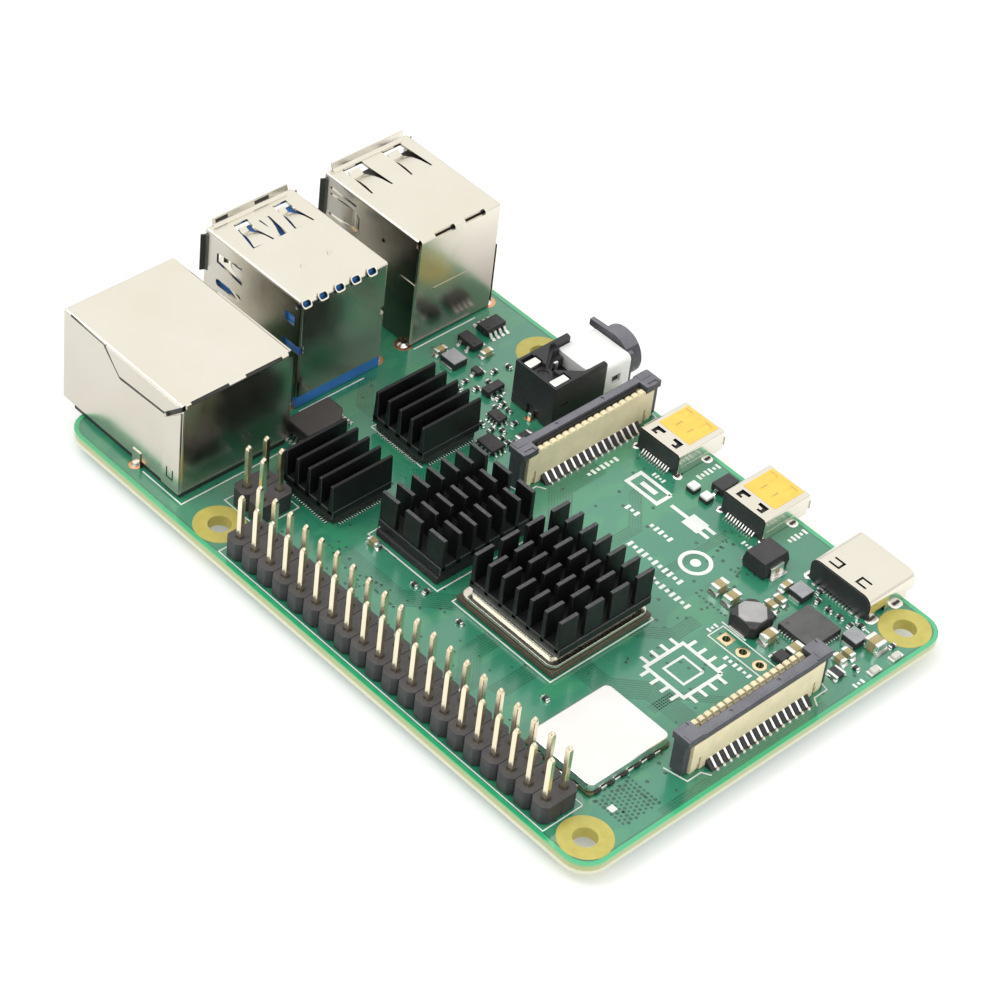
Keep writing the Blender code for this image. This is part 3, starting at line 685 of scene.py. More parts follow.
def usb_springs(name, y):
    """Springs of the top sheet: root and tip as (x, y), then the root's and the tip's width."""
    if name == "usb3":
        return [
            ((82.0, y + 2.95), (86.3, y + 2.6), (2.7, 1.0), 0.5),
            ((82.0, y - 3.15), (86.4, y - 3.3), (2.5, 1.0), 0.5),
            ((85.6, y - 0.05), (82.3, y + 0.1), (1.1, 0.6), 0.3),
        ]
    return [
        ((81.8, y + 3.1), (86.9, y + 3.1), (2.9, 1.7), 0.65),
        ((81.8, y - 3.1), (86.9, y - 3.0), (2.9, 1.7), 0.65),
    ]


def make_usb_stack(name, plastic, contact_rows):
    low, high = cad(name + "_shell")
    y = (low.y + high.y) / 2
    half, top = 6.5, TOP + 15.6
    x = (low.x, high.x)
    side_y = (y - half, y + half)
    inside = (side_y[0] + WALL, side_y[1] - WALL)
    shell, cuts, extra, bores = Shape(), Shape(), Shape(), Shape()
    shell.box(x, side_y, (TOP + 0.05, top), bevel=FOLD, segments=3)
    lower, upper = (2.6, 7.75), (11.45, 16.65)
    front = x[1] + 1.0
    cuts.box((x[0] + WALL, 76.8), inside, (0.0, top - WALL))
    for port in (lower, upper):
        cuts.box((76.0, front), inside, port)
    cuts.box((76.0, x[1] - 0.6), inside, (lower[1] + 0.3, upper[0] - 0.3))
    cuts.box((76.0, x[1] - 0.6), inside, (0.0, lower[0] - 0.3))

    for root, tip, widths, margin in usb_springs(name, y):
        window = spring_window(root, tip, widths, margin)
        cuts.prism(window, top - 1.0, top + 1.0)
        tongue(extra, (*root, top), (*tip, top), widths, -0.75)
    if name == "usb3":
        for b in USB_CHAIN:
            for wide, depths in ((0.45, (-0.25, 0.15)), (0.0, (-1.2, 0.9))):
                a = wide * 0.22
                hole = rounded((b - 0.58 - a, b + 0.58 + a), (-0.28 - a, 0.28 + a), 0.26 + a / 2, 4)
                rings = [[(x[0] + 0.1 + s + t, c, top - 0.3 - t + s) for c, s in hole] for t in depths]
                (extra if wide else cuts).loft(rings)
        for b in USB_CHAIN:
            hole = rounded((b - 0.56, b + 0.56), (-0.26, 0.26), 0.25, 4)
            bores.loft([[(x[0] + 0.1 + s + t, c, top - 0.3 - t + s) for c, s in hole] for t in (-1.2, 0.9)])
        cuts.box((x[0] - 1.0, x[0] + 1.0), (y - half - 1, y + half + 1), (0.0, TOP + 1.75))
        for side, at in ((1, side_y[1]), (-1, side_y[0])):
            wall = (at - 0.7, at + 0.7)
            window = [(81.4, TOP + 11.5), (85.9, TOP + 12.1), (85.9, TOP + 13.4), (81.5, TOP + 14.0)]
            cuts.prism(window, *wall, "y")
            cuts.prism(rounded((81.5, 85.9), (TOP + 8.85, TOP + 9.8), 0.4, 4), *wall, "y")
            cuts.box((72.2, 73.9), wall, (TOP + 11.7, TOP + 13.1))
            cuts.box((x[0] - 0.5, 74.1), wall, (TOP + 8.1, TOP + 9.2))
            extra.strip([(81.6, at - side * 0.1, TOP + 9.0), (83.6, at - side * 0.5, TOP + 9.35), (86.2,
            at - side * 0.6, TOP + 9.35)], 0.5, 0.12, (0, 0, 1))
            blade = (81.4, at, TOP + 12.9), (85.0, at, TOP + 12.9)
            tongue(extra, *blade, (1.5, 0.8), -0.6 * side, "y")
        for b in (y + 1.9, y - 2.1):
            extra.loft(
                [
                    [(a, b - w, z), (a, b + w, z), (a, b + w, top - 0.05), (a, b - w, top - 0.05)]
                    for a, w, z in (
                        (76.9, 0.05, top + 0.005), (76.2, 0.45, top + 0.14), (76.1, 0.5, top + 0.0)
                    )
                ]
            )
    else:
        for a, b in ((12.95, 9.85), (8.25, 5.1)):
            cuts.box((x[0] - 1, x[0] + 0.5), (b, a), (top - 0.5, top + 1))
        cuts.box((x[0] - 1, x[0] + 0.42), (side_y[1] - 0.42, side_y[1] + 1), (top - 1.0, top + 1))
        cuts.box((x[0] - 1, x[0] + 0.16), (side_y[1] - 0.16, side_y[1] + 1), (TOP + 9.6, top - 1.0))
        for side, at in ((1, side_y[1]), (-1, side_y[0])):
            wall = (at - 0.7, at + 0.7)
            cuts.prism(rounded((82.4, 87.0), (TOP + 13.95, TOP + 14.3), 0.15, 2), *wall, "y")
            slit = [(86.9, at, TOP + 13.3), (82.6, at, TOP + 13.3), (81.8, at, TOP + 12.7)]
            slit += [(81.8, at, TOP + 11.1), (82.6, at, TOP + 10.4), (86.9, at, TOP + 10.4)]
            cuts.strip(slit, 1.4, 0.22, (0, 1, 0))
            tongue(extra, (87.0, at, TOP + 11.85), (82.0, at, TOP + 11.85), (2.6, 2.4), -0.35 * side, "y")
            cuts.box((82.3, 86.8), wall, (TOP + 10.5, TOP + 13.2))
            cuts.turned((77.4, TOP + 12.3), [(0.32, wall[0]), (0.32, wall[1])], "y", 12)
            cover = (min(at, at + side * 0.12), max(at, at + side * 0.12))
            extra.prism(
                [
                    (71.55, TOP + 0.8), (74.3, TOP + 0.8), (74.3, TOP + 9.1), (74.0, TOP + 9.4),
                    (71.55, TOP + 9.4)
                ],
                *cover, "y", bevel=0.05,
            )
        extra.strip([(71.5, 12.6, TOP + 7.6), (71.5, 6.9, TOP + 7.6)], 0.12, 0.22, (1, 0, 0))

    # The flared lip round the mouth: a top flange, and two side flanges at each port.
    lip = x[1] - 0.14, high.z - 0.06
    flare = [(x[1] - 0.9, y, top - 0.12), (x[1] - 0.4, y, top + 0.08), (lip[0], y, lip[1])]
    extra.strip(flare, 11.2, 0.22, (0, 1, 0), bevel=0.05)
    if name == "usb3":
        # black strips in the two lip slots: painted shadow in the slots
        for a, b in ((32.2, 30.4), (26.4, 24.3)):
            slot = [(x[1] - 0.44, (a + b) / 2, top + 0.3), (x[1] - 0.31, (a + b) / 2, top + 0.72)]
            extra.strip(slot, a - b, 0.06, (0, 1, 0), kind=1)
    for side, at in ((1, side_y[1]), (-1, side_y[0])):
        for port in (lower, upper):
            z = (port[0] + port[1]) / 2
            out = high.y - 0.05 if side > 0 else low.y + 0.05
            path = [
                (x[1] - 0.9, at - side * 0.12, z), (x[1] - 0.45, at + side * 0.06, z), (x[1] - 0.14, out, z)
            ]
            path = [(a, b, z - 0.25) for a, b, z in path]
            # kind 2 gives the side flanges the darkened nickel: painted shade on their backs
            extra.strip(path, port[1] - port[0] - 0.1, 0.22, (0, 0, 1), kind=2, bevel=0.05)
        for start in (71.8, 82.6):
            leg = (min(at, at - side * 0.35), max(at, at - side * 0.35))
            extra.box((start, start + 1.2), leg, (TAIL_END, TOP + 2.0), bevel=0.06)
    shell = mesh_object("spare_shell", shell)
    carve(shell, cuts)
    whole = Shape()
    shell.data.transform(Matrix.Scale(1 / MM, 4))
    shell.data.transform(Matrix.Translation(-CORNER))
    whole.bm.from_mesh(shell.data)
    bpy.data.objects.remove(shell)
    whole.join(extra.bm)
    finishes = ["nickel", "black_plastic", "shadowed_nickel"]
    piece(name + "_shield", whole, finishes, [name + "_shell"], cuts=bores if name == "usb3" else None)

    body = Shape()
    gap = 0.15
    wide = (inside[0] + gap, inside[1] - gap)
    body.box((x[0] + WALL + gap, 76.4), wide, (1.6, top - WALL - gap), bevel=0.1)
    body.box((x[0] + 0.12, 74.0), (side_y[0] + 0.1, side_y[1] - 0.1), (TOP + 0.08, TOP + 1.65), bevel=0.06)
    body.box((76.0, 85.0), wide, (1.5, lower[0] - 0.45), bevel=0.05)
    body.box((76.2, x[1] - 0.85), wide, (lower[1] + 0.45, upper[0] - 0.45), bevel=0.05)
    if name == "usb3":
        body.box((x[0] + 0.32, x[0] + 1.2), (y - 5.6, side_y[1] - 0.45), (top - 1.4, top - 0.32), bevel=0.1)
    contacts = Shape()
    for port in (lower, upper):
        high_z = port[1] - 0.75
        body.box((76.2, 86.8), (y - 5.5, y + 5.5), (high_z - 1.84, high_z), bevel=0.12)
        for offset in contact_rows[0]:
            contacts.box(
                (77.5, 86.0), around(0, y + offset, 1, 1.0)[1], (high_z - 1.9, high_z - 1.8), bevel=0.02
            )
        for offset in contact_rows[1]:
            contacts.box(
                (85.0, 86.4), around(0, y + offset, 1, 0.6)[1], (high_z - 1.93, high_z - 1.8), bevel=0.02
            )
    piece(name + "_body", body, [plastic], [name + "_insert"])
    piece(name + "_contacts", contacts, ["gold"])


USB_POWER_ROW = (-3.5, -1.0, 1.0, 3.5)
USB_FAST_ROW = (-4.0, -2.0, 0.0, 2.0, 4.0)


make_ethernet_jack()
make_usb_stack("usb3", "blue_plastic", (USB_POWER_ROW, USB_FAST_ROW))
make_usb_stack("usb2", "black_plastic", (USB_POWER_ROW, ()))


# ---- pin headers ----

PITCH = 2.54
PIN = 0.64


def octagon(x, y, half, chamfer):
    inner = half - chamfer
    corners = ((inner, -half), (half, -inner), (half, inner), (inner, half))
    corners += tuple((-a, -b) for a, b in corners)
    return [(x + a, y + b) for a, b in corners]


def make_header(name, columns):
    """Two rows of square pins in a housing that is notched between its columns."""
    low, high = cad(name)
    first = (low.x + PITCH / 2, low.y + PITCH / 2)
    floor, top = TOP + 0.05, TOP + 2.54
    housing, dips, pins = Shape(), Shape(), Shape()
    notch = 0.62
    for i in range(columns):
        x = (low.x + PITCH * i, low.x + PITCH * (i + 1))
        y = (low.y, low.y + 2 * PITCH)
        mid = (y[0] + y[1]) / 2
        nick = 0.16
        outline = [
            (x[0] + notch, y[0]), (x[1] - notch, y[0]), (x[1], y[0] + notch), (x[1], mid - nick),
            (x[1] - nick, mid), (x[1], mid + nick), (x[1], y[1] - notch), (x[1] - notch, y[1]),
            (x[0] + notch, y[1]), (x[0], y[1] - notch), (x[0], mid + nick), (x[0] + nick, mid),
            (x[0], mid - nick), (x[0], y[0] + notch),
        ]
        housing.prism(outline, floor, top, bevel=0.15)
        for j in range(2):
            a, b = first[0] + PITCH * i, first[1] + PITCH * j
            dips.turned((a, b), [(0.42, top - 0.14), (0.62, top + 0.06)], steps=12)
            rings = [(PIN / 2 - 0.12, TAIL_END), (PIN / 2, TAIL_END + 0.25), (PIN / 2, high.z - 0.55)]
            rings += [(0.2, high.z - 0.12), (0.11, high.z)]
            pins.loft([[(p, q, z) for p, q in octagon(a, b, half, half * 0.22)] for half, z in rings])
    piece(name + "_housing", housing, ["header_plastic"], [name], cuts=dips)
    piece(name + "_pins", pins, ["pin_plating"])


# ---- heat sinks and what they cool ----


def fin_profile(middle, half, low, top, round_top):
    """Outline of a fin across its length, with a round top or a flat one with worn corners."""
    foot = [(middle - half, low), (middle + half, low)]
    if round_top:
        small = half * 0.55
        return foot + arc(middle, top - small, small, 0, 180, 6)
    small = half * 0.88
    return foot + [(middle + small, top), (middle - small, top)]


def make_heat_sink(name, columns, rows, thick, gap_row, base, along="y", round_top=False):
    """Flat fins along one axis: columns side by side, each cut into rows."""
    low, high = cad(name)
    shape = Shape()
    # bevelled edges of base and fins take the grey second finish: a painted highlight
    shape.box((low.x, high.x), (low.y, high.y), (low.z, low.z + base), bevel=0.12, edge=1)
    across, lengthwise = ((low.x, high.x), (low.y, high.y)) if along == "y" else (
        (low.y, high.y), (low.x, high.x)
    )
    inset = 0.45
    step = (across[1] - across[0] - 2 * inset) / (columns - 1)
    length = (lengthwise[1] - lengthwise[0] - gap_row * (rows - 1)) / rows
    for i in range(columns):
        middle = across[0] + inset + step * i
        for j in range(rows):
            start = lengthwise[0] + (length + gap_row) * j
            profile = fin_profile(middle, thick / 2, low.z + base * 0.5, high.z, round_top)
            shape.prism(
                profile, start, start + length, along, bevel=0.05, segments=1, edge=1 if round_top else 0
            )
    # flat fin tops take the grey second finish too: a painted highlight
    shape.bm.normal_update()
    for face in shape.bm.faces:
        if face.normal.z > 0.9 and face.calc_center_median().z > high.z - 0.2 and not round_top:
            face.material_index = 1
    piece(name + "_fins", shape, ["black_anodised", "fin_highlight"], [name])


def leads_round(shape, node, count, reach, width=0.22, z=(0.03, 0.2), sides=(0, 1, 2, 3), inset=0.7):
    """Flat leads that stick out of a package's sides. Sides: 0 is -X, 1 is +X, 2 is -Y and 3 is +Y."""
    low, high = cad(node)
    for side in sides:
        axis = 0 if side < 2 else 1
        other = 1 - axis
        edge = (low, high)[side % 2][axis]
        out = (-1, 1)[side % 2] * reach
        span = high[other] - low[other] - 2 * inset
        for i in range(count):
            at = low[other] + inset + span * i / (count - 1)
            along = tuple(sorted((edge - out * 0.3, edge + out)))
            across = (at - width / 2, at + width / 2)
            x, y = (along, across) if axis == 0 else (across, along)
            shape.box(x, y, (TOP + z[0], TOP + z[1]), bevel=0.03, segments=1)


def make_chip(node, finish="chip_black", bevel=0.1):
    low, high = cad(node)
    shape = Shape()
    shape.box((low.x, high.x), (low.y, high.y), (low.z, high.z), bevel=bevel)
    piece(node + "_body", shape, [finish], [node])


def make_cooled_chips():
    low, high = cad("processor_substrate")
    substrate = Shape()
    substrate.box((low.x, high.x), (low.y, high.y), (low.z + 0.12, high.z), bevel=0.05, segments=1)
    for i in range(13):
        for j in range(13):
            if i in (0, 12) or j in (0, 12):
                a, b = low.x + 0.9 + 1.1 * i, low.y + 0.9 + 1.1 * j
                substrate.turned(
                    (a, b), [(0.2, low.z - 0.02), (0.3, low.z + 0.1), (0.2, low.z + 0.2)], steps=8, kind=1
                )
    piece(
        "processor_carrier", substrate, ["package_brown", "solder"], ["processor_substrate"],
    )
    low, high = cad("processor_lid")
    cap = Shape()
    x, y = (low.x, high.x), (low.y, high.y)
    outline = rounded(x, y, 1.0)
    cap.prism(outline, low.z, low.z + 0.5, bevel=0.12)
    inner = rounded((x[0] + 0.8, x[1] - 0.8), (y[0] + 0.8, y[1] - 0.8), 0.7)
    cap.prism(inner, low.z + 0.3, high.z, bevel=0.14)
    piece("processor_cap", cap, ["nickel"], ["processor_lid"])
    make_heat_sink("processor_heat_sink", 7, 4, 0.6, 1.15, 1.15)
    make_chip("memory_chip", "chip_black")
    make_heat_sink("memory_heat_sink", 7, 3, 0.6, 1.2, 1.15, "x")
    for name in ("usb_controller", "ethernet_controller"):
        make_chip(name + "_chip")
        leads = Shape()
        leads_round(leads, name + "_chip", 19, 0.6, 0.17)
        piece(name + "_leads", leads, ["solder"])
        make_heat_sink(name + "_heat_sink", 5, 1, 0.8, 0.0, 1.1, round_top=True)


# ---- wireless module ----


def make_wireless_module():
    low, high = cad("wireless_shield_can")
    x, y = (low.x, high.x), (low.y, high.y)
    can, room = Shape(), Shape()
    can.prism(rounded(x, y, 0.8), low.z, high.z, bevel=0.16, segments=3)
    room.prism(rounded((x[0] + 0.15, x[1] - 0.15), (y[0] + 0.15, y[1] - 0.15), 0.6), low.z - 1, high.z - 0.15)
    for i in range(5):
        a = y[0] + 2.0 + 1.95 * i
        room.box((x[0] - 1, x[1] + 1), (a - 0.4, a + 0.4), (low.z - 1, low.z + 0.3))
    for i in range(4):
        a = x[0] + 2.0 + 1.9 * i
        room.box((a - 0.4, a + 0.4), (y[0] - 1, y[1] + 1), (low.z - 1, low.z + 0.3))
    piece("wireless_cover", can, ["bright_tin"], ["wireless_shield_can"], cuts=room)
    low, high = cad("wireless_module_base")
    base = Shape()
    base.prism(rounded((low.x, high.x), (low.y, high.y), 0.4), low.z, high.z, bevel=0.04, segments=1)
    for i in range(5):
        b = y[0] + 2.0 + 1.95 * i
        for a in (low.x + 0.1, high.x - 0.1):
            base.block(a, b, 0.45, 0.8, (TOP + 0.02, low.z + 0.4), kind=1, bevel=0.08)
            base.block(a, b + 0.95, 0.5, 0.7, (TOP + 0.02, low.z + 0.33), kind=2, bevel=0.05)
    for i in range(4):
        a = x[0] + 2.0 + 1.9 * i
        for b in (low.y + 0.1, high.y - 0.1):
            base.block(a, b, 0.8, 0.45, (TOP + 0.02, low.z + 0.4), kind=1, bevel=0.08)
    piece("wireless_base", base, ["package_green", "solder", "chip_black"], ["wireless_module_base"])


make_header("gpio_header", 20)
make_header("poe_header", 2)
make_cooled_chips()
make_wireless_module()
# ---- flat cable connectors ----

FLAT_DEPTH = 2.5
LATCH_DROP = 1.0
WAYS = 15


def make_flat_connector(name, body, side):
    """A toothed housing with its leads, and the latch on its side along X, which slides up to free the
    cable.
    """
    low, high = cad(name + "_connector_housing")
    lid_low, lid_high = cad(name + "_connector_latch")
    x0, y, floor, top = high.x - FLAT_DEPTH, (low.y + high.y) / 2, low.z, high.z
    z = (lid_high.z - LATCH_DROP, lid_high.z)
    ledge = z[0] - 0.06

    def span(a, b):
        """X range from two distances behind the toothed face."""
        return tuple(sorted((x0 + a, x0 + b) if side > 0 else (high.x - a, high.x - b)))

    housing, cuts = Shape(), Shape()
    housing.box(span(0, FLAT_DEPTH), (low.y, high.y), (floor, ledge), bevel=0.1)
    wall = [(0.0, ledge - 0.5), (1.0, ledge - 0.5), (1.0, ledge), (0.62, top - 0.3), (0.0, top - 0.3)]
    wall = [(x0 + a if side > 0 else high.x - a, z) for a, z in wall]
    housing.prism(wall, y - 8.5, y + 8.5, "y", bevel=0.05)
    for i in range(WAYS + 2):
        at = y + i - (WAYS + 1) / 2
        tooth = [(at - 0.42, top - 0.6), (at + 0.42, top - 0.6), (at + 0.42, top - 0.18), (at + 0.25, top)]
        tooth += [(at - 0.25, top), (at - 0.42, top - 0.18)]
        housing.prism(tooth, *span(0.0, 0.66), "x", bevel=0.04, segments=1)
        if side < 0:
            cuts.box(span(0.1, 1.01), (at + 0.36, at + 0.64), (top - 1.2, top + 1))
    cuts.box(span(1.0, 1.5), (y - 8.1, y + 8.1), (floor + 1.3, ledge + 1))
    for end in (-1, 1):
        at = y + end * 8.75
        cuts.box((x0 - 1, x0 + 0.3), (at - 0.14, at + 0.14), (floor - 1, floor + 2.0))
        cuts.box((x0 - 1, x0 + 0.5), tuple(sorted((at, at + end * 0.35))), (floor - 1, floor + 1.1))
        cuts.box((x0 - 1, x0 + 0.16), tuple(sorted((at, y + end * 11))), (floor - 1, floor + 0.5))
    piece(name + "_housing", housing, ["cream_plastic"], [name + "_connector_housing"], cuts=cuts)

    leads = Shape()
    for i in range(WAYS):
        at = y + i - (WAYS - 1) / 2
        foot, knee, shoulder = low.x + 0.42, low.x + 0.85, x0 + 0.1
        path = [
            (low.x, at, TOP + 0.12), (foot, at, TOP + 0.12), (knee, at, TOP + 0.5),
            (shoulder, at, TOP + 1.0)
        ]
        leads.strip(path + [(x0 + 0.3, at, TOP + 1.0)], 0.3, 0.13, (0, 1, 0))
        leads.turned(
            (low.x + 0.12, at), [(0.26, TOP), (0.25, TOP + 0.12), (0.13, TOP + 0.27)], steps=10, kind=1
        )
    # black bars between the leads, from the feet to the housing: painted shadow between the leads
    for i in range(WAYS + 1):
        at = y + i - WAYS / 2
        shadow_comb = [(low.x + 0.22, TOP), (x0 + 0.05, TOP), (x0 + 0.05, TOP + 0.95), (x0 - 0.1, TOP + 0.95)]
        leads.prism(shadow_comb + [(low.x + 0.5, TOP + 0.3)], at - 0.25, at + 0.25, "y", kind=2)
    piece(name + "_leads", leads, ["bright_tin", "solder", "black_plastic"])

    latch, marks = Shape(), Shape()
    inner = lid_low.y + 2.4, lid_high.y - 2.4
    bar = [(1.3, z[0]), (2.5, z[0]), (2.5, z[1] - 0.3), (2.2, z[1]), (1.42, z[1]), (1.3, z[1] - 0.12)]
    bar = [(x0 + a if side > 0 else high.x - a, b) for a, b in bar]
    latch.prism(bar, inner[0] - 0.1, inner[1] + 0.1, "y", bevel=0.05, segments=1)
    for a, b in ((lid_low.y, inner[0]), (inner[1], lid_high.y)):
        latch.box(span(0, FLAT_DEPTH), (a, b), z, bevel=0.14, segments=3)
        latch.box(span(1.35, FLAT_DEPTH - 0.05), (a + 0.3, b - 0.3), (z[0] + 0.2, z[1] + 0.06), bevel=0.06)
        marks.box(span(-1, 0.55), (a + 0.5, b - 0.5), (z[1] - 0.12, z[1] + 1))
    for a, b in ((lid_low.y, low.y - 0.05), (high.y + 0.05, lid_high.y)):
        latch.box((x0 + 0.4, high.x - 0.4), (a, b), (lid_low.z, z[0] + 0.3), bevel=0.08)
    # the blade in the mouth is black, unlike the grey latch: painted shade in the mouth
    latch.box(span(1.05, 1.36), (y - 7.9, y + 7.9), (floor + 1.6, z[1] - 0.5), kind=1, bevel=0.05)
    for at in (y - 3.1, y + 4.2):
        marks.turned((sum(span(1.3, 2.4)) / 2, at), [(0.2, z[1] - 0.1), (0.26, z[1] + 0.2)], steps=12)
    piece(
        name + "_latch", latch, ["latch_plastic", "black_plastic"], [name + "_connector_latch"], body, marks
    )


make_flat_connector("camera", "camera_latch", 1)
make_flat_connector("display", "display_latch", -1)


# ---- ports on the power input edge ----


def solder_ring(shape, x, y, length, width, kind=0, slot_kind=1):
    """A tinned oval round a shell's leg, with a dark block in its middle."""

    def ring(k, z):
        outline = rounded(*around(x, y, width * k, length * k), width * k / 2 - 0.01, 6)
        return [(a, b, z) for a, b in outline]

    shape.loft(
        [ring(1.0, TOP), ring(0.98, TOP + 0.05), ring(0.72, TOP + 0.16), ring(0.5, TOP + 0.12)], kind=kind
    )
    shape.block(x, y, width * 0.16, length * 0.62, (TOP + 0.02, TOP + 0.2), kind=slot_kind)


def make_usb_c_port():
    low, high = cad("usb_c_shell")
    x, half = (low.x + high.x) / 2, (high.x - low.x) / 2
    floor, top, rear = TOP + 0.05, high.z, high.y

    def ring(inset, radius):
        return rounded((x - half + inset, x + half - inset), (floor + inset, top - inset), radius - inset, 6)

    shell, cuts = Shape(), Shape()
    shell.prism(ring(0, 1.25), low.y, rear - 0.12, "y", bevel=0.09)
    cuts.prism(ring(0.3, 1.25), low.y - 1, rear + 1, "y")
    for end in (-1, 1):
        at = x + end * 2.0
        cuts.block(at - end * 0.65, 4.75, 0.3, 1.3, (top - 1, top + 1))
        cuts.block(at, 4.24, 1.5, 0.27, (top - 1, top + 1))
        cuts.block(at, 5.26, 1.5, 0.27, (top - 1, top + 1))
        skirt = x + end * (half - 0.16)
        shell.block(skirt, 1.6, 0.28, 3.6, (floor, floor + 1.7), bevel=0.06)
        shell.block(skirt, 5.45, 0.26, 0.9, (low.z, floor + 1.2), bevel=0.05)
        shell.block(skirt, 1.4, 0.26, 0.9, (low.z, floor + 1.2), bevel=0.05)
    cuts.turned((x - 0.05, 3.55), [(0.12, top - 0.12), (0.42, top + 0.05)], steps=16)
    piece("usb_c_case", shell, ["nickel"], ["usb_c_shell"], cuts=cuts)

    core = Shape()
    wide = half - 0.12
    back = [(x - wide, floor), (x + wide, floor), (x + wide, top - 1.0), (x + wide - 0.85, top - 0.12)]
    core.prism(
        back + [(x - wide + 0.85, top - 0.12), (x - wide, top - 1.0)], rear - 0.9, rear, "y", bevel=0.08
    )
    core.prism(ring(0.34, 1.25), 3.4, rear - 0.6, "y")
    mid = (floor + top) / 2
    core.box((x - 3.3, x + 3.3), (-0.6, 3.8), (mid - 0.34, mid + 0.34), bevel=0.1)
    for i in range(12):
        at = x + 0.5 * (i - 5.5)
        for z in (mid - 0.36, mid + 0.3):
            core.box((at - 0.12, at + 0.12), (-0.35, 2.6), (z, z + 0.06), kind=1)
    piece("usb_c_core", core, ["black_plastic", "gold"], ["usb_c_insert"])

    feet = Shape()
    for i in range(10):
        feet.block(x + 0.47 * (i - 4.6), rear + 0.27, 0.27, 0.5, (TOP + 0.02, TOP + 0.2), bevel=0.06)
    for a in (-3.3, -2.5, 2.35, 3.15):
        feet.block(x + a, rear + 0.28, 0.55, 0.6, (TOP + 0.02, TOP + 0.24), bevel=0.1)
    for end, at in ((-1, 1.4), (-1, 5.45), (1, 1.4), (1, 5.6)):
        solder_ring(feet, x + end * (half + 0.05), at, 1.75, 1.25)
    piece("usb_c_joints", feet, ["bright_tin", "chip_black"])


def make_video_port(name):
    low, high = cad(name + "_shell")
    x, half = (low.x + high.x) / 2, (high.x - low.x) / 2 - 0.3
    floor, top, rear, front = TOP + 0.05, high.z - 0.3, high.y, low.y + 0.25

    def ring(inset):
        return rounded((x - half + inset, x + half - inset), (floor + inset, top - inset), 0.4 - inset / 2, 3)

    shell, cuts = Shape(), Shape()
    shell.prism(ring(0), front, rear - 0.1, "y", bevel=0.08)
    cuts.prism(ring(0.28), front - 1, rear + 1, "y")
    for z, out in ((top - 0.15, 1), (floor + 0.15, -1)):
        path = [(x, front + 0.3, z), (x, front, z), (x, low.y + 0.06, z + out * 0.22)]
        shell.strip(path, 2 * half - 2.0, 0.2, (1, 0, 0), bevel=0.04, segments=1)
    for end in (-1, 1):
        wall = x + end * (half - 0.13)
        middle = (floor + top) / 2
        path = [(wall, front + 0.3, middle), (wall, front, middle), (wall + end * 0.2, low.y + 0.06, middle)]
        shell.strip(path, 1.3, 0.2, (0, 0, 1), bevel=0.04, segments=1)
        for at in (1.1, 5.7):
            shell.block(wall, at, 0.24, 0.85, (low.z, floor + 0.8), bevel=0.05)
        shell.block(wall + end * 0.05, 2.9, 0.22, 5.6, (floor, floor + 1.15), bevel=0.05)
        hole = [
            (0.7, 4.3), (2.05, 4.3), (2.05, 5.55), (1.2, 5.55), (1.2, 5.25), (1.6, 5.2), (1.5, 4.85),
            (0.7, 4.75)
        ]
        cuts.prism([(x + end * a, b) for a, b in hole], top - 1, top + 1)
    piece(name + "_case", shell, ["nickel"], [name + "_shell"], cuts=cuts)

    film = Shape()
    skin = (top - 0.02, top + 0.05)
    film.prism(rounded((x - 2.5, x + 2.45), (front + 0.3, 3.85), 0.06, 1), *skin, bevel=0.02, segments=1)
    raised = (top, top + 0.1)
    for end in (-1, 1):
        film.block(x + end * 0.85, 2.1, 0.2, 1.15, raised, bevel=0.04, segments=1)
        film.block(x + end * 0.85, 2.1, 0.09, 0.95, (top, top + 0.115), kind=1)
        a = x + end * 1.55
        for dx in (-0.5, 0.5):
            film.block(a + dx, 0.35, 0.14, 1.3, raised, bevel=0.04, segments=1)
        film.block(a, -0.3, 1.1, 0.16, raised, bevel=0.04, segments=1)
        film.block(a + 0.1, -0.44, 1.15, 0.07, (top, top + 0.07), kind=1)
        film.block(a, 0.3, 0.5, 0.75, (top, top + 0.075), bevel=0.03, segments=1)
    piece(name + "_film", film, ["polyimide", "beige_ceramic"])

    core = Shape()
    core.box((x - half + 0.08, x + half - 0.08), (rear - 1.0, rear), (floor, top - 0.25), bevel=0.1)
    core.box((x - half + 0.33, x + half - 0.33), (3.3, rear - 0.5), (floor + 0.3, top - 0.33))
    shelf = floor + 1.5
    core.box((x - 2.2, x + 2.2), (-0.3, 3.6), (shelf, shelf + 0.62), bevel=0.06)
    for i in range(10):
        at = x + 0.4 * (i - 4.5)
        core.box((at - 0.1, at + 0.1), (-0.2, 2.8), (shelf - 0.04, shelf + 0.1), kind=1)
        core.box((at - 0.1, at + 0.1), (-0.2, 2.8), (shelf + 0.56, shelf + 0.66), kind=1)
    piece(name + "_core", core, ["black_plastic", "gold"], [name + "_insert"])

    feet = Shape()
    for i in range(11):
        at = x + 0.4 * (i - 5)
        path = [(at, rear + 0.75, TOP + 0.1), (at, rear + 0.35, TOP + 0.12), (at, rear - 0.1, TOP + 0.62)]
        feet.strip(path, 0.17, 0.1, (1, 0, 0))
    for end in (-1, 1):
        solder_ring(feet, x + end * (half + 0.1), 1.1, 1.35, 1.15)
        solder_ring(feet, x + end * (half + 0.05), 6.0, 1.15, 1.15)
    piece(name + "_joints", feet, ["bright_tin", "chip_black"])


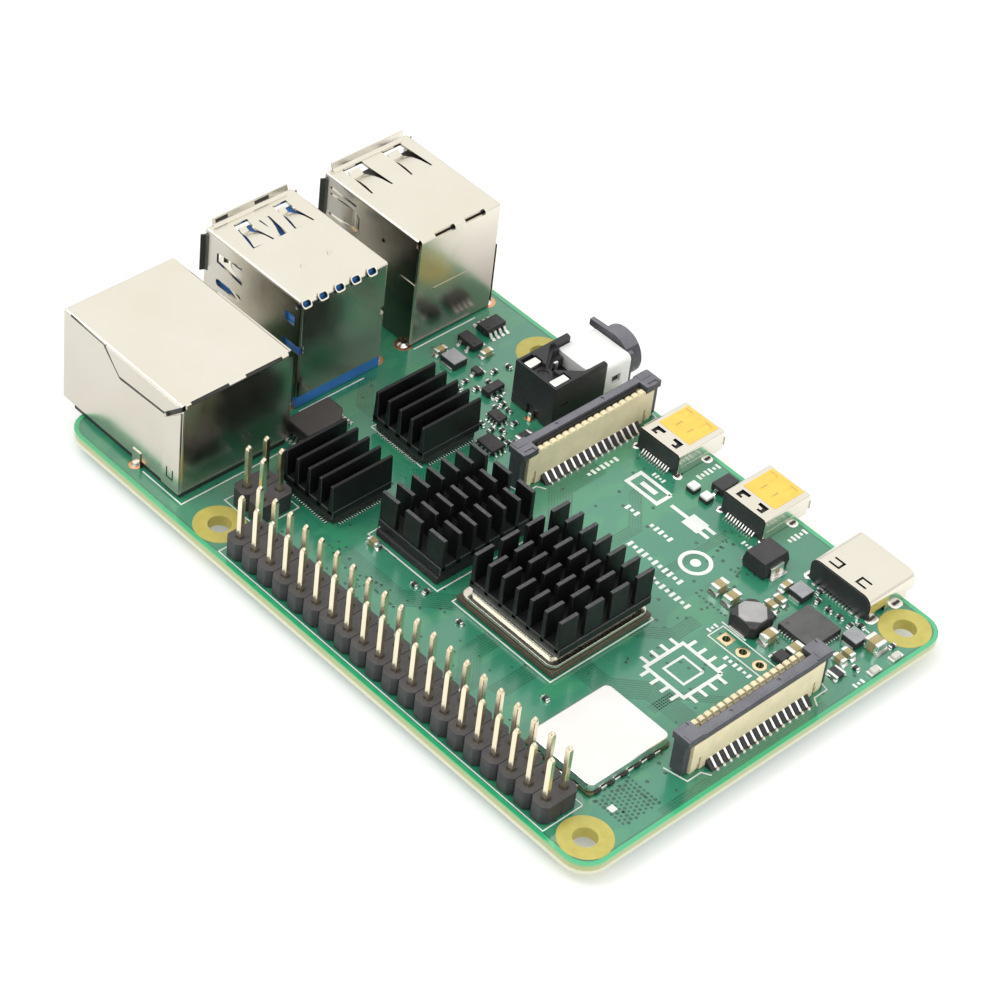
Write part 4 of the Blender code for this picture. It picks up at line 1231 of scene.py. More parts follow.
def make_audio_jack():
    low, high = cad("audio_jack_housing")
    x = (low.x + high.x) / 2
    floor, top = low.z, high.z
    deck = top - 0.62
    inner = (low.x + 0.42, high.x - 0.42)
    housing, cuts = Shape(), Shape()
    housing.box((low.x, high.x), (low.y, high.y), (floor, top), bevel=0.14, segments=2)
    housing.box(
        (low.x - 0.04, low.x + 0.2), (low.y + 0.3, high.y - 0.25), (floor + 0.4, top - 0.5), bevel=0.05
    )
    cuts.box(inner, (low.y + 6.3, high.y - 0.32), (deck, top + 1))
    for node in ("audio_contact_left", "audio_contact_right"):
        a, b = cad(node)
        cuts.box((a.x - 0.1, b.x + 0.1), (a.y - 0.12, b.y), (deck, top + 1))
    cuts.box(inner, (low.y - 1, low.y + 2.3), (TOP + 3.0, top + 1))
    # A hopper between the walls: it starts full width at the sleeve and narrows to a point at the deck.
    for inset, rear, depth in ((0.0, 6.4, 0.62), (0.55, 6.0, 1.6), (1.3, 5.6, 3.2)):
        span = (inner[0] + inset, inner[1] - inset)
        mouth = [
            (span[0], low.y + 2.2), (span[1], low.y + 2.2), (span[1], low.y + 3.4), (x + 0.5, low.y + rear)
        ]
        cuts.prism(mouth + [(x - 0.5, low.y + rear), (span[0], low.y + 3.4)], top - depth, top + 1)
    chamfer = [(low.y - 1, top + 1), (low.y + 0.7, top + 1), (low.y + 0.35, top), (low.y - 0.05, top - 0.6)]
    cuts.prism(chamfer + [(low.y - 1, top - 0.6)], low.x - 1, high.x + 1, "x")
    cuts.turned((x + 0.1, high.y - 1.4), [(0.72, deck - 0.12), (0.78, deck + 0.3)], steps=24)
    cuts.prism(
        rounded((high.y - 2.4, high.y - 1.2), (floor + 3.1, floor + 3.35), 0.1, 2), low.x - 0.12,
        low.x + 0.12, "x"
    )
    cuts.box((x - 1.3, x + 0.7), (high.y - 0.25, high.y + 1), (floor - 1, floor + 1.5))
    piece("audio_housing", housing, ["black_plastic"], ["audio_jack_housing"], cuts=cuts)

    contacts = Shape()
    for node in ("audio_contact_left", "audio_contact_right"):
        a, b = cad(node)
        contacts.box((a.x, b.x), (a.y, b.y), (a.z, b.z), bevel=0.16, segments=3)
        end = (a.x + b.x) / 2 + (a.x - x) * 0.16
        contacts.block(end, a.y - 1.0, 0.34, 0.55, (deck - 0.8, b.z - 0.1), bevel=0.08)
    contacts.block(x + 0.9, low.y + 4.3, 0.3, 0.6, (deck - 1.4, deck - 0.2), bevel=0.06)
    contacts.block(x - 0.25, high.y + 0.2, 0.55, 0.6, (TOP + 0.02, TOP + 0.85), bevel=0.12)
    contacts.block(x - 0.25, high.y + 0.4, 1.0, 0.9, (TOP, TOP + 0.1), kind=1, bevel=0.04)
    piece(
        "audio_contacts", contacts, ["bright_tin", "copper"], ["audio_contact_left", "audio_contact_right"],
    )

    low, high = cad("audio_jack_sleeve")
    centre = (x, TOP + 3.05)
    sleeve, cuts = Shape(), Shape()
    outline = [(low.x, low.z), (high.x, low.z)] + arc(high.x - 0.7, high.z - 0.7, 0.7, 0, 90, 5)
    sleeve.prism(outline + arc(low.x + 0.7, high.z - 0.7, 0.7, 90, 180, 5), low.y, 3.85, "y", bevel=0.08)
    sleeve.box((inner[0] + 0.06, inner[1] - 0.06), (3.4, high.y), (TOP + 3.06, high.z), bevel=0.12)
    cuts.turned(centre, [(1.78, low.y - 1), (1.78, 2.8)], "y")
    for a, b in ((low.x - 1, low.x + 0.9), (high.x - 0.9, high.x + 1)):
        cuts.box((a, b), (1.35, 2.75), (TOP + 2.1, TOP + 3.25))
    piece("audio_sleeve", sleeve, ["white_plastic"], ["audio_jack_sleeve"], cuts=cuts)
    lining = Shape()
    for end in (low.x + 0.6, high.x - 0.6):
        lining.block(end, 2.05, 0.5, 1.36, (TOP + 2.12, TOP + 3.23))
    piece("audio_lining", lining, ["black_plastic"])

    low, high = cad("audio_jack_collar")
    collar, bore = Shape(), Shape()
    collar.turned(centre, [(3.0, -0.26), (3.04, -0.4), (3.04, -2.3), (2.8, low.y)], "y", 48)
    collar.box((low.x + 0.2, high.x - 0.9), (-0.94, -0.27), (TOP + 0.35, TOP + 4.95), bevel=0.1)
    tab = [(x - 0.6, TOP + 4.6), (high.x, TOP + 4.9), (high.x, TOP + 5.8), (x, TOP + 6.02)]
    collar.prism(tab, -0.94, -0.27, "y", bevel=0.06)
    bore.turned(centre, [(1.76, 0.5), (1.76, low.y + 0.25), (2.05, low.y - 0.02), (2.05, low.y - 1)], "y", 32)
    piece("audio_collar", collar, ["latch_plastic"], ["audio_jack_collar"], cuts=bore)


make_usb_c_port()
make_video_port("video_port_0")
make_video_port("video_port_1")
make_audio_jack()

# ---- chips, inductors and other larger parts ----


def gull_leads(shape, low, high, side, places, reach=0.6, width=0.35, rise=0.5):
    """Leads that leave a package's side half way up and bend down to the board, each in its own solder."""
    axis = 0 if side < 2 else 1
    sign = (-1, 1)[side % 2]
    edge = (low, high)[side % 2][axis]
    steps = ((-0.05, rise), (0.12, rise), (reach * 0.5, 0.1), (reach, 0.08))
    for at in places:
        path = []
        for out, height in steps:
            a = edge + sign * out
            path.append((a, at, TOP + height) if axis == 0 else (at, a, TOP + height))
        shape.strip(path, width, 0.12, (0, 1, 0) if axis == 0 else (1, 0, 0))
        a = edge + sign * reach * 0.85
        size = (reach * 0.75, width * 1.3) if axis == 0 else (width * 1.3, reach * 0.75)
        shape.block(
            *((a, at) if axis == 0 else (at, a)), *size, (TOP, TOP + 0.09), kind=1, bevel=0.04, segments=1
        )


def spread(low, high, count):
    return [low + (high - low) * (i + 0.5) / count for i in range(count)]


def make_leaded_chip(node, rows, reach=0.55, width=0.34, bevel=0.12, mark=True):
    """A moulded package with gull-wing leads. rows gives the number of leads on each of its sides."""
    low, high = cad(node)
    body, dents, leads = Shape(), Shape(), Shape()
    body.box((low.x, high.x), (low.y, high.y), (low.z + 0.06, high.z), bevel=bevel)
    if mark:
        dents.turned((low.x + 0.42, high.y - 0.42), [(0.14, high.z - 0.06), (0.18, high.z + 0.1)], steps=12)
    piece(node + "_body", body, ["chip_black"], [node], cuts=dents if mark else None)
    for side, count in rows.items():
        other = 1 if side < 2 else 0
        places = spread(low[other] + 0.05, high[other] - 0.05, count)
        gull_leads(leads, low, high, side, places, reach, width, (high.z - TOP) * 0.5)
    piece(node + "_leads", leads, ["bright_tin", "solder"])


def make_power_chip():
    low, high = cad("power_management_chip")
    body, dent, pads = Shape(), Shape(), Shape()
    body.box((low.x, high.x), (low.y, high.y), (low.z, high.z), bevel=0.05, segments=1)
    dent.turned((high.x - 0.7, high.y - 0.7), [(0.22, high.z - 0.05), (0.26, high.z + 0.1)], steps=16)
    leads_round(pads, "power_management_chip", 11, 0.28, 0.22, (0.02, 0.26), inset=0.45)
    piece("power_chip_body", body, ["chip_sheen_top"], ["power_management_chip"], cuts=dent)
    piece("power_chip_pads", pads, ["bright_tin"])


def make_power_inductor():
    """A moulded black body with a ground, rounded eight-sided core face on top."""
    low, high = cad("power_inductor")
    x, y = (low.x + high.x) / 2, (low.y + high.y) / 2
    half = (high.x - low.x) / 2
    body, feet = Shape(), Shape()

    def ring(size, chamfer, z):
        return [(a, b, z) for a, b in octagon(x, y, size, chamfer)]

    body.loft(
        [ring(half, 0.5, low.z), ring(half, 0.5, high.z - 0.45), ring(half - 0.12, 0.95, high.z - 0.14)],
        bevel=0.08
    )
    body.prism(octagon(x, y, half - 0.2, 1.25), high.z - 0.3, high.z, kind=1, bevel=0.14)
    for end in (-1, 1):
        feet.block(x, y + end * (half + 0.1), 2.2, 0.5, (TOP, TOP + 0.3), bevel=0.08)
    piece(
        "power_inductor_body", body, ["chip_black", "ground_ferrite"], ["power_inductor"],
    )
    piece("power_inductor_joints", feet, ["solder"])


def make_flat_inductor(node):
    low, high = cad(node)
    body, feet = Shape(), Shape()
    body.box((low.x, high.x), (low.y, high.y), (low.z, high.z - 0.12), bevel=0.08)
    body.box(
        (low.x + 0.02, high.x - 0.02), (low.y + 0.02, high.y - 0.02), (high.z - 0.2, high.z), kind=1,
        bevel=0.05
    )
    for end in (low.y - 0.04, high.y + 0.04):
        feet.block((low.x + high.x) / 2, end, high.x - low.x - 0.5, 0.22, (TOP, TOP + 0.3), bevel=0.06)
    piece(node + "_body", body, ["chip_black", "grey_ferrite"], [node])
    piece(node + "_joints", feet, ["solder"])


def make_input_diode():
    """A tall moulded diode with a wide tinned strip folded down at each end."""
    low, high = cad("input_protection_diode")
    mid = (low.y + high.y) / 2
    body, straps = Shape(), Shape()

    def ring(inset, z):
        left, right = low.x + inset, high.x - inset
        near, far = low.y + inset, high.y - inset
        return [(left, near, z), (right, near, z), (right, far, z), (left, far, z)]

    body.loft([ring(0.12, low.z), ring(0.0, low.z + 1.05), ring(0.22, high.z)], bevel=0.1)
    for end, edge in ((-1, low.x), (1, high.x)):
        path = [(edge + end * 0.45, mid, TOP + 0.12), (edge + end * 0.12, mid, TOP + 0.14)]
        path += [(edge + end * 0.09, mid, TOP + 1.3), (edge - end * 0.3, mid, TOP + 1.3)]
        straps.strip(path, 2.1, 0.16, (0, 1, 0), bevel=0.03, segments=1)
        straps.block(edge + end * 0.32, mid, 0.75, 2.5, (TOP, TOP + 0.12), kind=1, bevel=0.05)
        straps.block(edge + end * 0.16, mid, 0.08, 0.7, (TOP + 0.3, TOP + 1.05), kind=2)
    piece("input_diode_body", body, ["chip_black"], ["input_protection_diode"])
    piece("input_diode_straps", straps, ["bright_tin", "solder", "beige_ceramic"])


def make_port_power_chip():
    """A tall moulded transformer with one corner cut off and a row of leads on two sides."""
    low, high = cad("port_power_chip")
    cut = 1.5
    body, leads = Shape(), Shape()
    outline = [(low.x + cut, low.y), (high.x, low.y), (high.x, high.y), (low.x, high.y), (low.x, low.y + cut)]
    body.prism(outline, low.z + 0.1, high.z, bevel=0.3, segments=3)
    for side in (2, 3):
        places = spread(low.x + 0.3, high.x - 0.3, 6)
        gull_leads(leads, low, high, side, places, 0.7, 0.26, 0.7)
    piece("port_power_body", body, ["chip_brown"], ["port_power_chip"])
    piece("port_power_leads", leads, ["bright_tin", "solder"])


def make_status_light(node):
    low, high = cad(node)
    mid = (low + high) / 2
    lens, ends = Shape(), Shape()
    lens.box((low.x, high.x), (low.y, high.y), (low.z, low.z + 0.2), bevel=0.03, segments=1)
    lens.box((low.x + 0.03, high.x - 0.03), (low.y + 0.3, high.y - 0.3), (low.z, high.z), bevel=0.08)
    for y in (low.y + 0.08, high.y - 0.08):
        ends.block(mid.x, y, high.x - low.x + 0.1, 0.36, (TOP, TOP + 0.32), bevel=0.06)
    piece(node + "_lens", lens, ["clear_light"], [node])
    piece(node + "_ends", ends, ["bright_tin"])


make_power_chip()
make_power_inductor()
for node in ("core_inductor", "supply_inductor", "port_inductor"):
    make_flat_inductor(node)
make_input_diode()
make_port_power_chip()
make_leaded_chip("port_switch_chip", {0: 4, 1: 4}, 0.85, 0.36)
make_leaded_chip("port_voltage_chip", {2: 3, 3: 2}, 0.6, 0.4)
make_leaded_chip("audio_driver_chip", {0: 3, 1: 3}, 0.5, 0.36)
make_leaded_chip("audio_filter_chip", {0: 2, 1: 2, 2: 4, 3: 4}, 0.42, 0.24, 0.06)
make_leaded_chip("camera_switch_chip", {0: 3, 1: 3, 3: 4}, 0.4, 0.22, 0.08)
make_status_light("status_light_activity")
make_status_light("status_light_power")


# ---- small passive parts ----


def capacitor(shape, x, y, length, width, height, along):
    """A ceramic block with tinned ends and sloping solder: kind 0 is ceramic, 1 tin, 2 solder."""
    turned = along == "y"
    half = length / 2

    def block(a, size_a, size_b, z, **how):
        at = (x, y + a) if turned else (x + a, y)
        shape.block(*at, *((size_b, size_a) if turned else (size_a, size_b)), z, **how)

    block(0, length * 0.62, width * 0.95, (TOP + 0.05, TOP + height * 0.97), kind=0)
    for end in (-1, 1):
        block(
            end * half * 0.74, length * 0.27, width, (TOP + 0.04, TOP + height), kind=1,
            bevel=min(0.12, width * 0.12)
        )
        foot = half + min(0.28, height * 0.3)
        rise = TOP + height * 0.45
        profile = [
            (end * half * 0.75, TOP), (end * foot, TOP), (end * foot, TOP + 0.06), (end * half * 0.98, rise)
        ]
        profile += [(end * half * 0.75, rise)]
        if turned:
            shape.prism(
                [(y + a, b) for a, b in profile], x - width * 0.55, x + width * 0.55, "x", kind=2,
                bevel=0.03, segments=1
            )
        else:
            shape.prism(
                [(x + a, b) for a, b in profile], y - width * 0.55, y + width * 0.55, "y", kind=2,
                bevel=0.03, segments=1
            )


def group_of(name, places, size, ceramic="beige_ceramic"):
    """Parts of one size as one piece each: places are (x, y, axis) and size is length, width and height."""
    for number, (x, y, along) in enumerate(places):
        shape = Shape()
        capacitor(shape, x, y, *size, along)
        piece(f"{name}_{number:02d}", shape, [ceramic, "bright_tin", "solder"])


BULK_CAPACITORS = [(20.2, 15.7, "y"), (18.1, 15.9, "y"), (11.5, 17.0, "y"), (8.3, 16.3, "y")]
INPUT_CAPACITORS = [
    (15.9, 9.5, "y"), (14.8, 13.1, "x"), (14.8, 11.7, "x"), (4.5, 13.2, "x"), (4.5, 11.8, "x"),
    (68.6, 13.2, "y"), (65.05, 9.1, "y"), (48.7, 41.2, "x"),
]
SMALL_RESISTORS = [
    (62.95, 14.5, "y"), (62.4, 15.9, "x"), (61.2, 14.3, "y"), (61.8, 8.5, "x"), (62.2, 10.5, "y"),
    (61.1, 12.3, "x"), (56.2, 18.0, "x"), (54.8, 17.8, "y"), (53.9, 16.9, "x"), (54.0, 14.9, "y"),
    (56.1, 13.9, "x"), (57.3, 13.7, "y"), (57.3, 14.8, "x"), (58.35, 13.3, "y"), (52.0, 17.9, "y"),
    (53.05, 17.9, "y"), (13.1, 7.0, "y"), (10.5, 8.3, "x"), (12.2, 8.2, "y"), (9.0, 8.1, "x"),
    (7.4, 8.2, "y"), (6.6, 7.3, "x"), (13.6, 14.0, "y"), (12.9, 15.4, "x"), (6.6, 14.9, "y"),
    (6.0, 16.1, "x"), (4.4, 16.6, "y"), (2.6, 12.6, "x"), (2.4, 6.9, "y"), (33.9, 41.9, "x"),
    (39.6, 41.6, "y"), (41.2, 41.9, "x"), (50.4, 38.4, "y"), (50.6, 33.5, "y"), (51.6, 27.2, "x"),
    (47.0, 24.2, "y"), (20.0, 42.4, "x"), (35.0, 23.2, "x"), (63.7, 41.0, "y"), (64.0, 27.3, "x"),
    (64.6, 22.4, "y"), (31.6, 6.0, "x"),
]


TRANSISTORS = [
    (31.5, 3.1, 1.8, 2.8, 1.1, {2: 1, 3: 1}), (63.3, 12.2, 1.3, 0.9, 0.7, {2: 2, 3: 1}),
    (8.55, 18.15, 1.45, 1.5, 0.95, {0: 1, 1: 2}),
]


def make_passives():
    group_of("bulk_capacitor", BULK_CAPACITORS, (1.95, 1.25, 1.25))
    group_of("input_capacitor", INPUT_CAPACITORS, (1.6, 0.85, 0.85))
    group_of("reservoir_capacitor", [(3.5, 8.6, "x")], (2.0, 1.6, 1.5))
    group_of("small_resistor", SMALL_RESISTORS, (0.9, 0.5, 0.42), "chip_black")
    group_of("sense_resistor", [(3.4, 14.9, "y")], (1.6, 1.6, 0.55), "chip_black")
    group_of("ferrite_bead", [(51.5, 15.8, "y")], (2.3, 0.9, 0.9), "chip_black")
    for number, (x, y) in enumerate(((33.5, 6.2), (31.4, 6.25))):
        shape = Shape()
        shape.block(x, y, 1.25, 1.25, (TOP + 0.02, TOP + 0.55), bevel=0.05)
        shape.block(x, y, 1.2, 1.2, (TOP + 0.5, TOP + 0.9), kind=1, bevel=0.12)
        piece(f"video_filter_{number}", shape, ["chip_black", "white_plastic"])
    for number, (x, y, across, deep, height, rows) in enumerate(TRANSISTORS):
        low, high = Vector((x - across / 2, y - deep / 2, TOP + 0.05)), Vector(
            (x + across / 2, y + deep / 2, TOP + height)
        )
        shape = Shape()
        shape.box((low.x, high.x), (low.y, high.y), (low.z, high.z), kind=2, bevel=0.12)
        for side, count in rows.items():
            other = 1 if side < 2 else 0
            gull_leads(
                shape, low, high, side, spread(low[other], high[other], count), 0.5, 0.45, height * 0.5
            )
        piece(f"small_transistor_{number}", shape, ["bright_tin", "solder", "chip_black"])


make_passives()

# ---- the board's own surface ----

MASK_TOP = TOP + 0.022
INK_TOP = TOP + 0.045
HOLES = [(3.5 + 58.0 * i, 3.5 + 49.0 * j) for i in range(2) for j in range(2)]
JUMPERS = [(9.43 + 2.51 * i, 20.5) for i in range(3)]


def ribbon(shape, path, width, z=None, **how):
    """A flat line on the board, along a path of X and Y."""
    low, high = z or (TOP - 0.01, MASK_TOP)
    shape.strip([(a, b, (low + high) / 2) for a, b in path], high - low, width, (0, 0, 1), **how)


def bundle(shape, path, count, pitch=0.32, width=0.16, **how):
    """Tracks side by side that all follow one path."""
    for i in range(count):
        offset = pitch * (i - (count - 1) / 2)
        points = []
        for k, (a, b) in enumerate(path):
            before = Vector(path[k]) - Vector(path[k - 1]) if k else Vector(path[1]) - Vector(path[0])
            after = Vector(path[k + 1]) - Vector(path[k]) if k + 1 < len(path) else before
            before, after = before.normalized(), after.normalized()
            normal = (before + after).normalized().orthogonal()
            points.append(Vector((a, b)) + normal * offset / max(0.4, normal.dot(before.orthogonal())))
        ribbon(shape, points, width, **how)


TRACK_BUNDLES = [
    ([(38.5, 26.0), (38.5, 22.5), (43.0, 18.0), (43.0, 12.0)], 9),
    ([(22.0, 28.0), (18.5, 24.5), (18.5, 21.0)], 6),
    ([(21.5, 36.0), (17.5, 36.0), (14.0, 32.5), (6.8, 32.5)], 9),
    ([(30.0, 40.5), (30.0, 44.0), (27.0, 47.0), (27.0, 49.5)], 8),
    ([(24.0, 40.5), (24.0, 46.0)], 7),
    ([(36.5, 40.0), (41.0, 44.5), (50.0, 44.5)], 8),
    ([(50.5, 35.0), (53.5, 35.0)], 8),
    ([(62.3, 35.5), (64.2, 37.5), (64.2, 43.0)], 5),
    ([(63.7, 26.5), (67.0, 26.5), (70.5, 23.0)], 6),
    ([(55.0, 28.8), (52.0, 31.0), (50.2, 31.0)], 5),
    ([(33.0, 24.3), (33.0, 16.0), (37.0, 12.0), (37.5, 8.5)], 5),
    ([(26.0, 24.3), (26.0, 8.5)], 4),
    ([(12.0, 34.5), (12.0, 31.0), (8.0, 27.0)], 4),
    ([(66.0, 22.0), (66.0, 15.5)], 5),
    ([(1.2, 19.0), (1.2, 44.0)], 3),
]


def scatter_vias(shape):
    """Tented vias: loose ones everywhere, rows beside the power parts and a staggered field by one corner."""
    random.seed(7)
    places = [(random.uniform(2, 71), random.uniform(7, 49)) for i in range(260)]
    places += [(21.5 - 0.55 * i, 17.9 + 0.12 * (i % 2)) for i in range(9)]
    places += [(7.0 + 0.55 * i, 52.9 + 0.45 * j + 0.2 * (i % 2)) for i in range(-3, 1) for j in range(2)]
    places += [(2.2 + 0.55 * i + 0.27 * (j % 2), 43.2 + 0.55 * j) for i in range(8) for j in range(10)]
    places += [(22.5 + random.uniform(-3, 3), 7.5 + random.uniform(-2, 5)) for i in range(30)]
    places += [(43.0 + random.uniform(-3, 9), 46.5 + random.uniform(-2, 3)) for i in range(30)]
    for a, b in places:
        if any(math.hypot(a - x, b - y) < 3.6 for x, y in HOLES):
            continue
        ring = random.choice((0.17, 0.2, 0.24))
        shape.turned((a, b), [(ring, TOP - 0.01), (ring, TOP + 0.01), (ring * 0.85, TOP + 0.026)], steps=8)


def make_board_relief():
    """Tracks and clearances under the mask, and tented vias."""
    relief = Shape()
    for path, count in TRACK_BUNDLES:
        bundle(relief, path, count, kind=0)
    reach = 0.62
    rim = rounded((reach, LENGTH - reach), (reach, WIDTH - reach), 2.5, 6)
    ribbon(relief, rim + rim[:1], 0.09, kind=0)
    piece("board_clearances", relief, ["bare_mask"])
    vias = Shape()
    scatter_vias(vias)
    piece("board_vias", vias, ["tented_via"])


def ink_line(shape, path, width=0.16, closed=False):
    ribbon(shape, path + path[:1] if closed else path, width, (TOP - 0.01, INK_TOP))


def ink_box(shape, x, y, width=0.16):
    ink_line(shape, [(x[0], y[0]), (x[1], y[0]), (x[1], y[1]), (x[0], y[1])], width, True)


def ink_bars(shape, x, y, lengths, step=0.75, along="x", height=1.0):
    """A row of plain marks that stands where the board had lettering."""
    for i, length in enumerate(lengths):
        a, b = (x + step * i, y) if along == "x" else (x, y + step * i)
        size = (step * 0.55, height * length) if along == "x" else (height * length, step * 0.55)
        shape.block(a, b, *size, (TOP - 0.01, INK_TOP))


def make_emblem(shape, x, y):
    """A plain chip pictogram: two squares with short legs all round."""
    ink_box(shape, (x - 2.9, x + 2.9), (y - 2.9, y + 2.9), 0.45)
    ink_box(shape, (x - 1.5, x + 1.5), (y - 1.5, y + 1.5), 0.3)
    for i in range(4):
        at = 1.5 * (i - 1.5)
        for side in (-3.7, 3.7):
            shape.block(x + side, y + at, 1.15, 0.42, (TOP - 0.01, INK_TOP))
            shape.block(x + at, y + side, 0.42, 1.15, (TOP - 0.01, INK_TOP))


def make_ink():
    ink = Shape()
    low, high = cad("gpio_header")
    ink_box(ink, (low.x - 0.3, high.x + 0.3), (low.y - 0.3, high.y + 0.3), 0.14)
    low, high = cad("poe_header")
    ink_box(ink, (low.x - 0.3, high.x + 0.5), (low.y - 0.4, high.y + 0.3), 0.14)
    low, high = cad("processor_substrate")
    ink_box(ink, (low.x - 0.2, high.x + 0.2), (low.y - 0.2, high.y + 0.35))
    low, high = cad("memory_chip")
    ink_box(ink, (low.x - 0.75, high.x + 0.6), (low.y - 0.5, high.y + 0.55))
    ink_box(ink, (7.85, 16.05), (19.3, 21.7), 0.15)
    ink_line(ink, [(13.0, 18.95), (16.6, 18.95)], 0.2)
    for node in ("usb3_shell", "usb2_shell"):
        low, high = cad(node)
        ink_line(ink, [(low.x - 0.5, low.y + 3.6), (low.x - 0.5, high.y - 0.9)])
    low, high = cad("ethernet_shell")
    ink_line(ink, [(low.x + 6.1, high.y + 0.12), (low.x - 0.7, high.y + 0.12), (low.x - 0.7, low.y)])
    for name in ("camera", "display"):
        low, high = cad(name + "_connector_housing")
        for end, b in ((-1, low.y), (1, high.y)):
            a = low.x + 0.9
            ink_line(
                ink,
                [(a - 1.0, b - end * 1.9), (a, b - end * 1.3), (a, b + end * 0.7), (high.x, b + end * 1.35)]
            )
    low, high = cad("port_power_chip")
    ink_line(ink, [(low.x - 0.4, low.y + 1.3), (low.x + 1.3, low.y - 0.45), (high.x + 0.3, low.y - 0.45)])
    ink_line(ink, [(low.x - 0.4, low.y + 1.3), (low.x - 0.4, high.y)])
    ink_line(ink, [(8.1, 6.2), (7.4, 7.2), (5.4, 7.2)], 0.2)
    ink_line(ink, [(63.6, 19.6), (63.6, 28.4), (54.9, 28.4)], 0.14)
    make_emblem(ink, 14.0, 27.6)

    # Plain pictograms: a socket, a plug and a ring.
    ink_box(ink, (34.4, 39.2), (8.9, 11.2), 0.5)
    ink_line(ink, [(35.6, 10.05), (38.0, 10.05)], 0.7)
    ink_line(ink, [(33.2, 10.05), (30.6, 10.05)], 0.5)
    ink.box((28.2, 30.6), (9.0, 11.1), (TOP - 0.01, INK_TOP))
    for b in (9.5, 10.6):
        ink.box((26.8, 28.2), (b - 0.24, b + 0.24), (TOP - 0.01, INK_TOP))
    ink_line(ink, circle(24.9, 14.6, 1.75, 30), 0.5, True)
    ink.turned((24.9, 14.6), [(0.62, TOP - 0.01), (0.62, INK_TOP)], steps=20)
    marks = (0.9, 0.5, 0.9, 0.9, 0.6, 0.9, 0.5, 0.9, 0.9, 0.6)
    ink_bars(ink, 23.8, 18.2, marks + (0.9,), 0.78)
    ink_bars(ink, 20.6, 20.3, marks[:8], 0.78)
    ink_bars(ink, 29.3, 14.2, marks[:5], 0.72, height=0.9)
    ink_bars(ink, 34.6, 14.2, marks[:3], 0.72, height=0.9)
    ink_bars(ink, 42.6, 9.6, marks[:7], 0.72, "y", 0.85)
    ink_bars(ink, 36.6, 7.9, marks[:4], 0.5, height=0.7)
    ink_bars(ink, 22.9, 7.9, marks[:3], 0.5, height=0.7)
    ink_bars(ink, 34.6, 1.0, marks[:6], 0.62, "y", 0.9)
    ink_bars(ink, 20.9, 1.0, marks[:5], 0.62, "y", 0.9)
    ink_bars(ink, 16.6, 1.0, marks[:5], 0.72, "y", 1.0)
    ink_bars(ink, 9.0, 22.6, marks[:6], 0.7, height=0.75)
    ink_bars(ink, 16.6, 19.9, marks[:3], 0.55, "y", 0.7)
    ink_bars(ink, 6.6, 23.5, marks[:7], 0.72, "y", 0.8)
    ink_bars(ink, 0.95, 13.3, marks[:3], 0.6, "y", 0.7)
    ink_bars(ink, 36.0, 48.7, marks[:8], 0.78, height=0.8)
    ink_bars(ink, 26.5, 48.7, marks[:5], 0.78, height=0.8)
    ink.block(4.6, 47.6, 0.85, 0.85, (TOP - 0.01, INK_TOP))
    piece("board_ink", ink, ["white_ink"])


def make_plated_rings():
    """Pads of the jumper row, and the plated rings round the legs of the jacks, with their solder."""
    pads, holes = Shape(), Shape()
    for i, (a, b) in enumerate(reversed(JUMPERS)):
        if i == 0:
            pads.block(a, b, 1.55, 1.55, (TOP - 0.02, TOP + 0.05), kind=1, bevel=0.02, segments=1)
        else:
            pads.turned(
                (a, b), [(0.82, TOP - 0.02), (0.82, TOP + 0.03), (0.77, TOP + 0.05)], steps=28, kind=1
            )
        pads.turned((a, b), [(0.54, 0.0), (0.54, TOP + 0.06)], steps=20, kind=1)
        pads.turned((a, b), [(0.77, -0.05), (0.82, -0.03), (0.82, 0.02)], steps=28, kind=1)
        holes.turned((a, b), [(0.47, -1), (0.47, TOP + 1)], steps=20)
    piece("jumper_pads", pads, ["shadowed_nickel", "pale_gold"], cuts=holes)
    legs = [("ethernet_shell", 74.7, 0.62), ("usb3_shell", 72.4, 1.0), ("usb2_shell", 72.4, 1.0)]
    rings = Shape()
    for node, a, radius in legs:
        low, high = cad(node)
        lip = 0.55 if "usb" in node else 0.0
        for b, out in ((low.y + lip, -1), (high.y - lip, 1)):
            centre = (a, b + out * 0.1)
            rings.turned(
                centre, [(radius + 0.12, TOP - 0.01), (radius + 0.12, TOP + 0.02), (radius, TOP + 0.035)],
                steps=28
            )
            rings.turned(
                centre, [(radius * 0.7, TOP), (radius * 0.6, TOP + 0.12), (0.3, TOP + 0.4)], steps=20,
                kind=1
            )
    piece("leg_rings", rings, ["copper", "solder"])


def solder_cone(shape, x, y, radius):
    """A joint on the underside: a pad, a concave fillet and the cut end of the lead."""
    profile = [
        (radius * 0.4, -1.0), (radius * 0.62, -0.72), (radius * 0.85, -0.2), (radius, -0.02), (radius, 0.01)
    ]
    shape.turned((x, y), profile, steps=12)


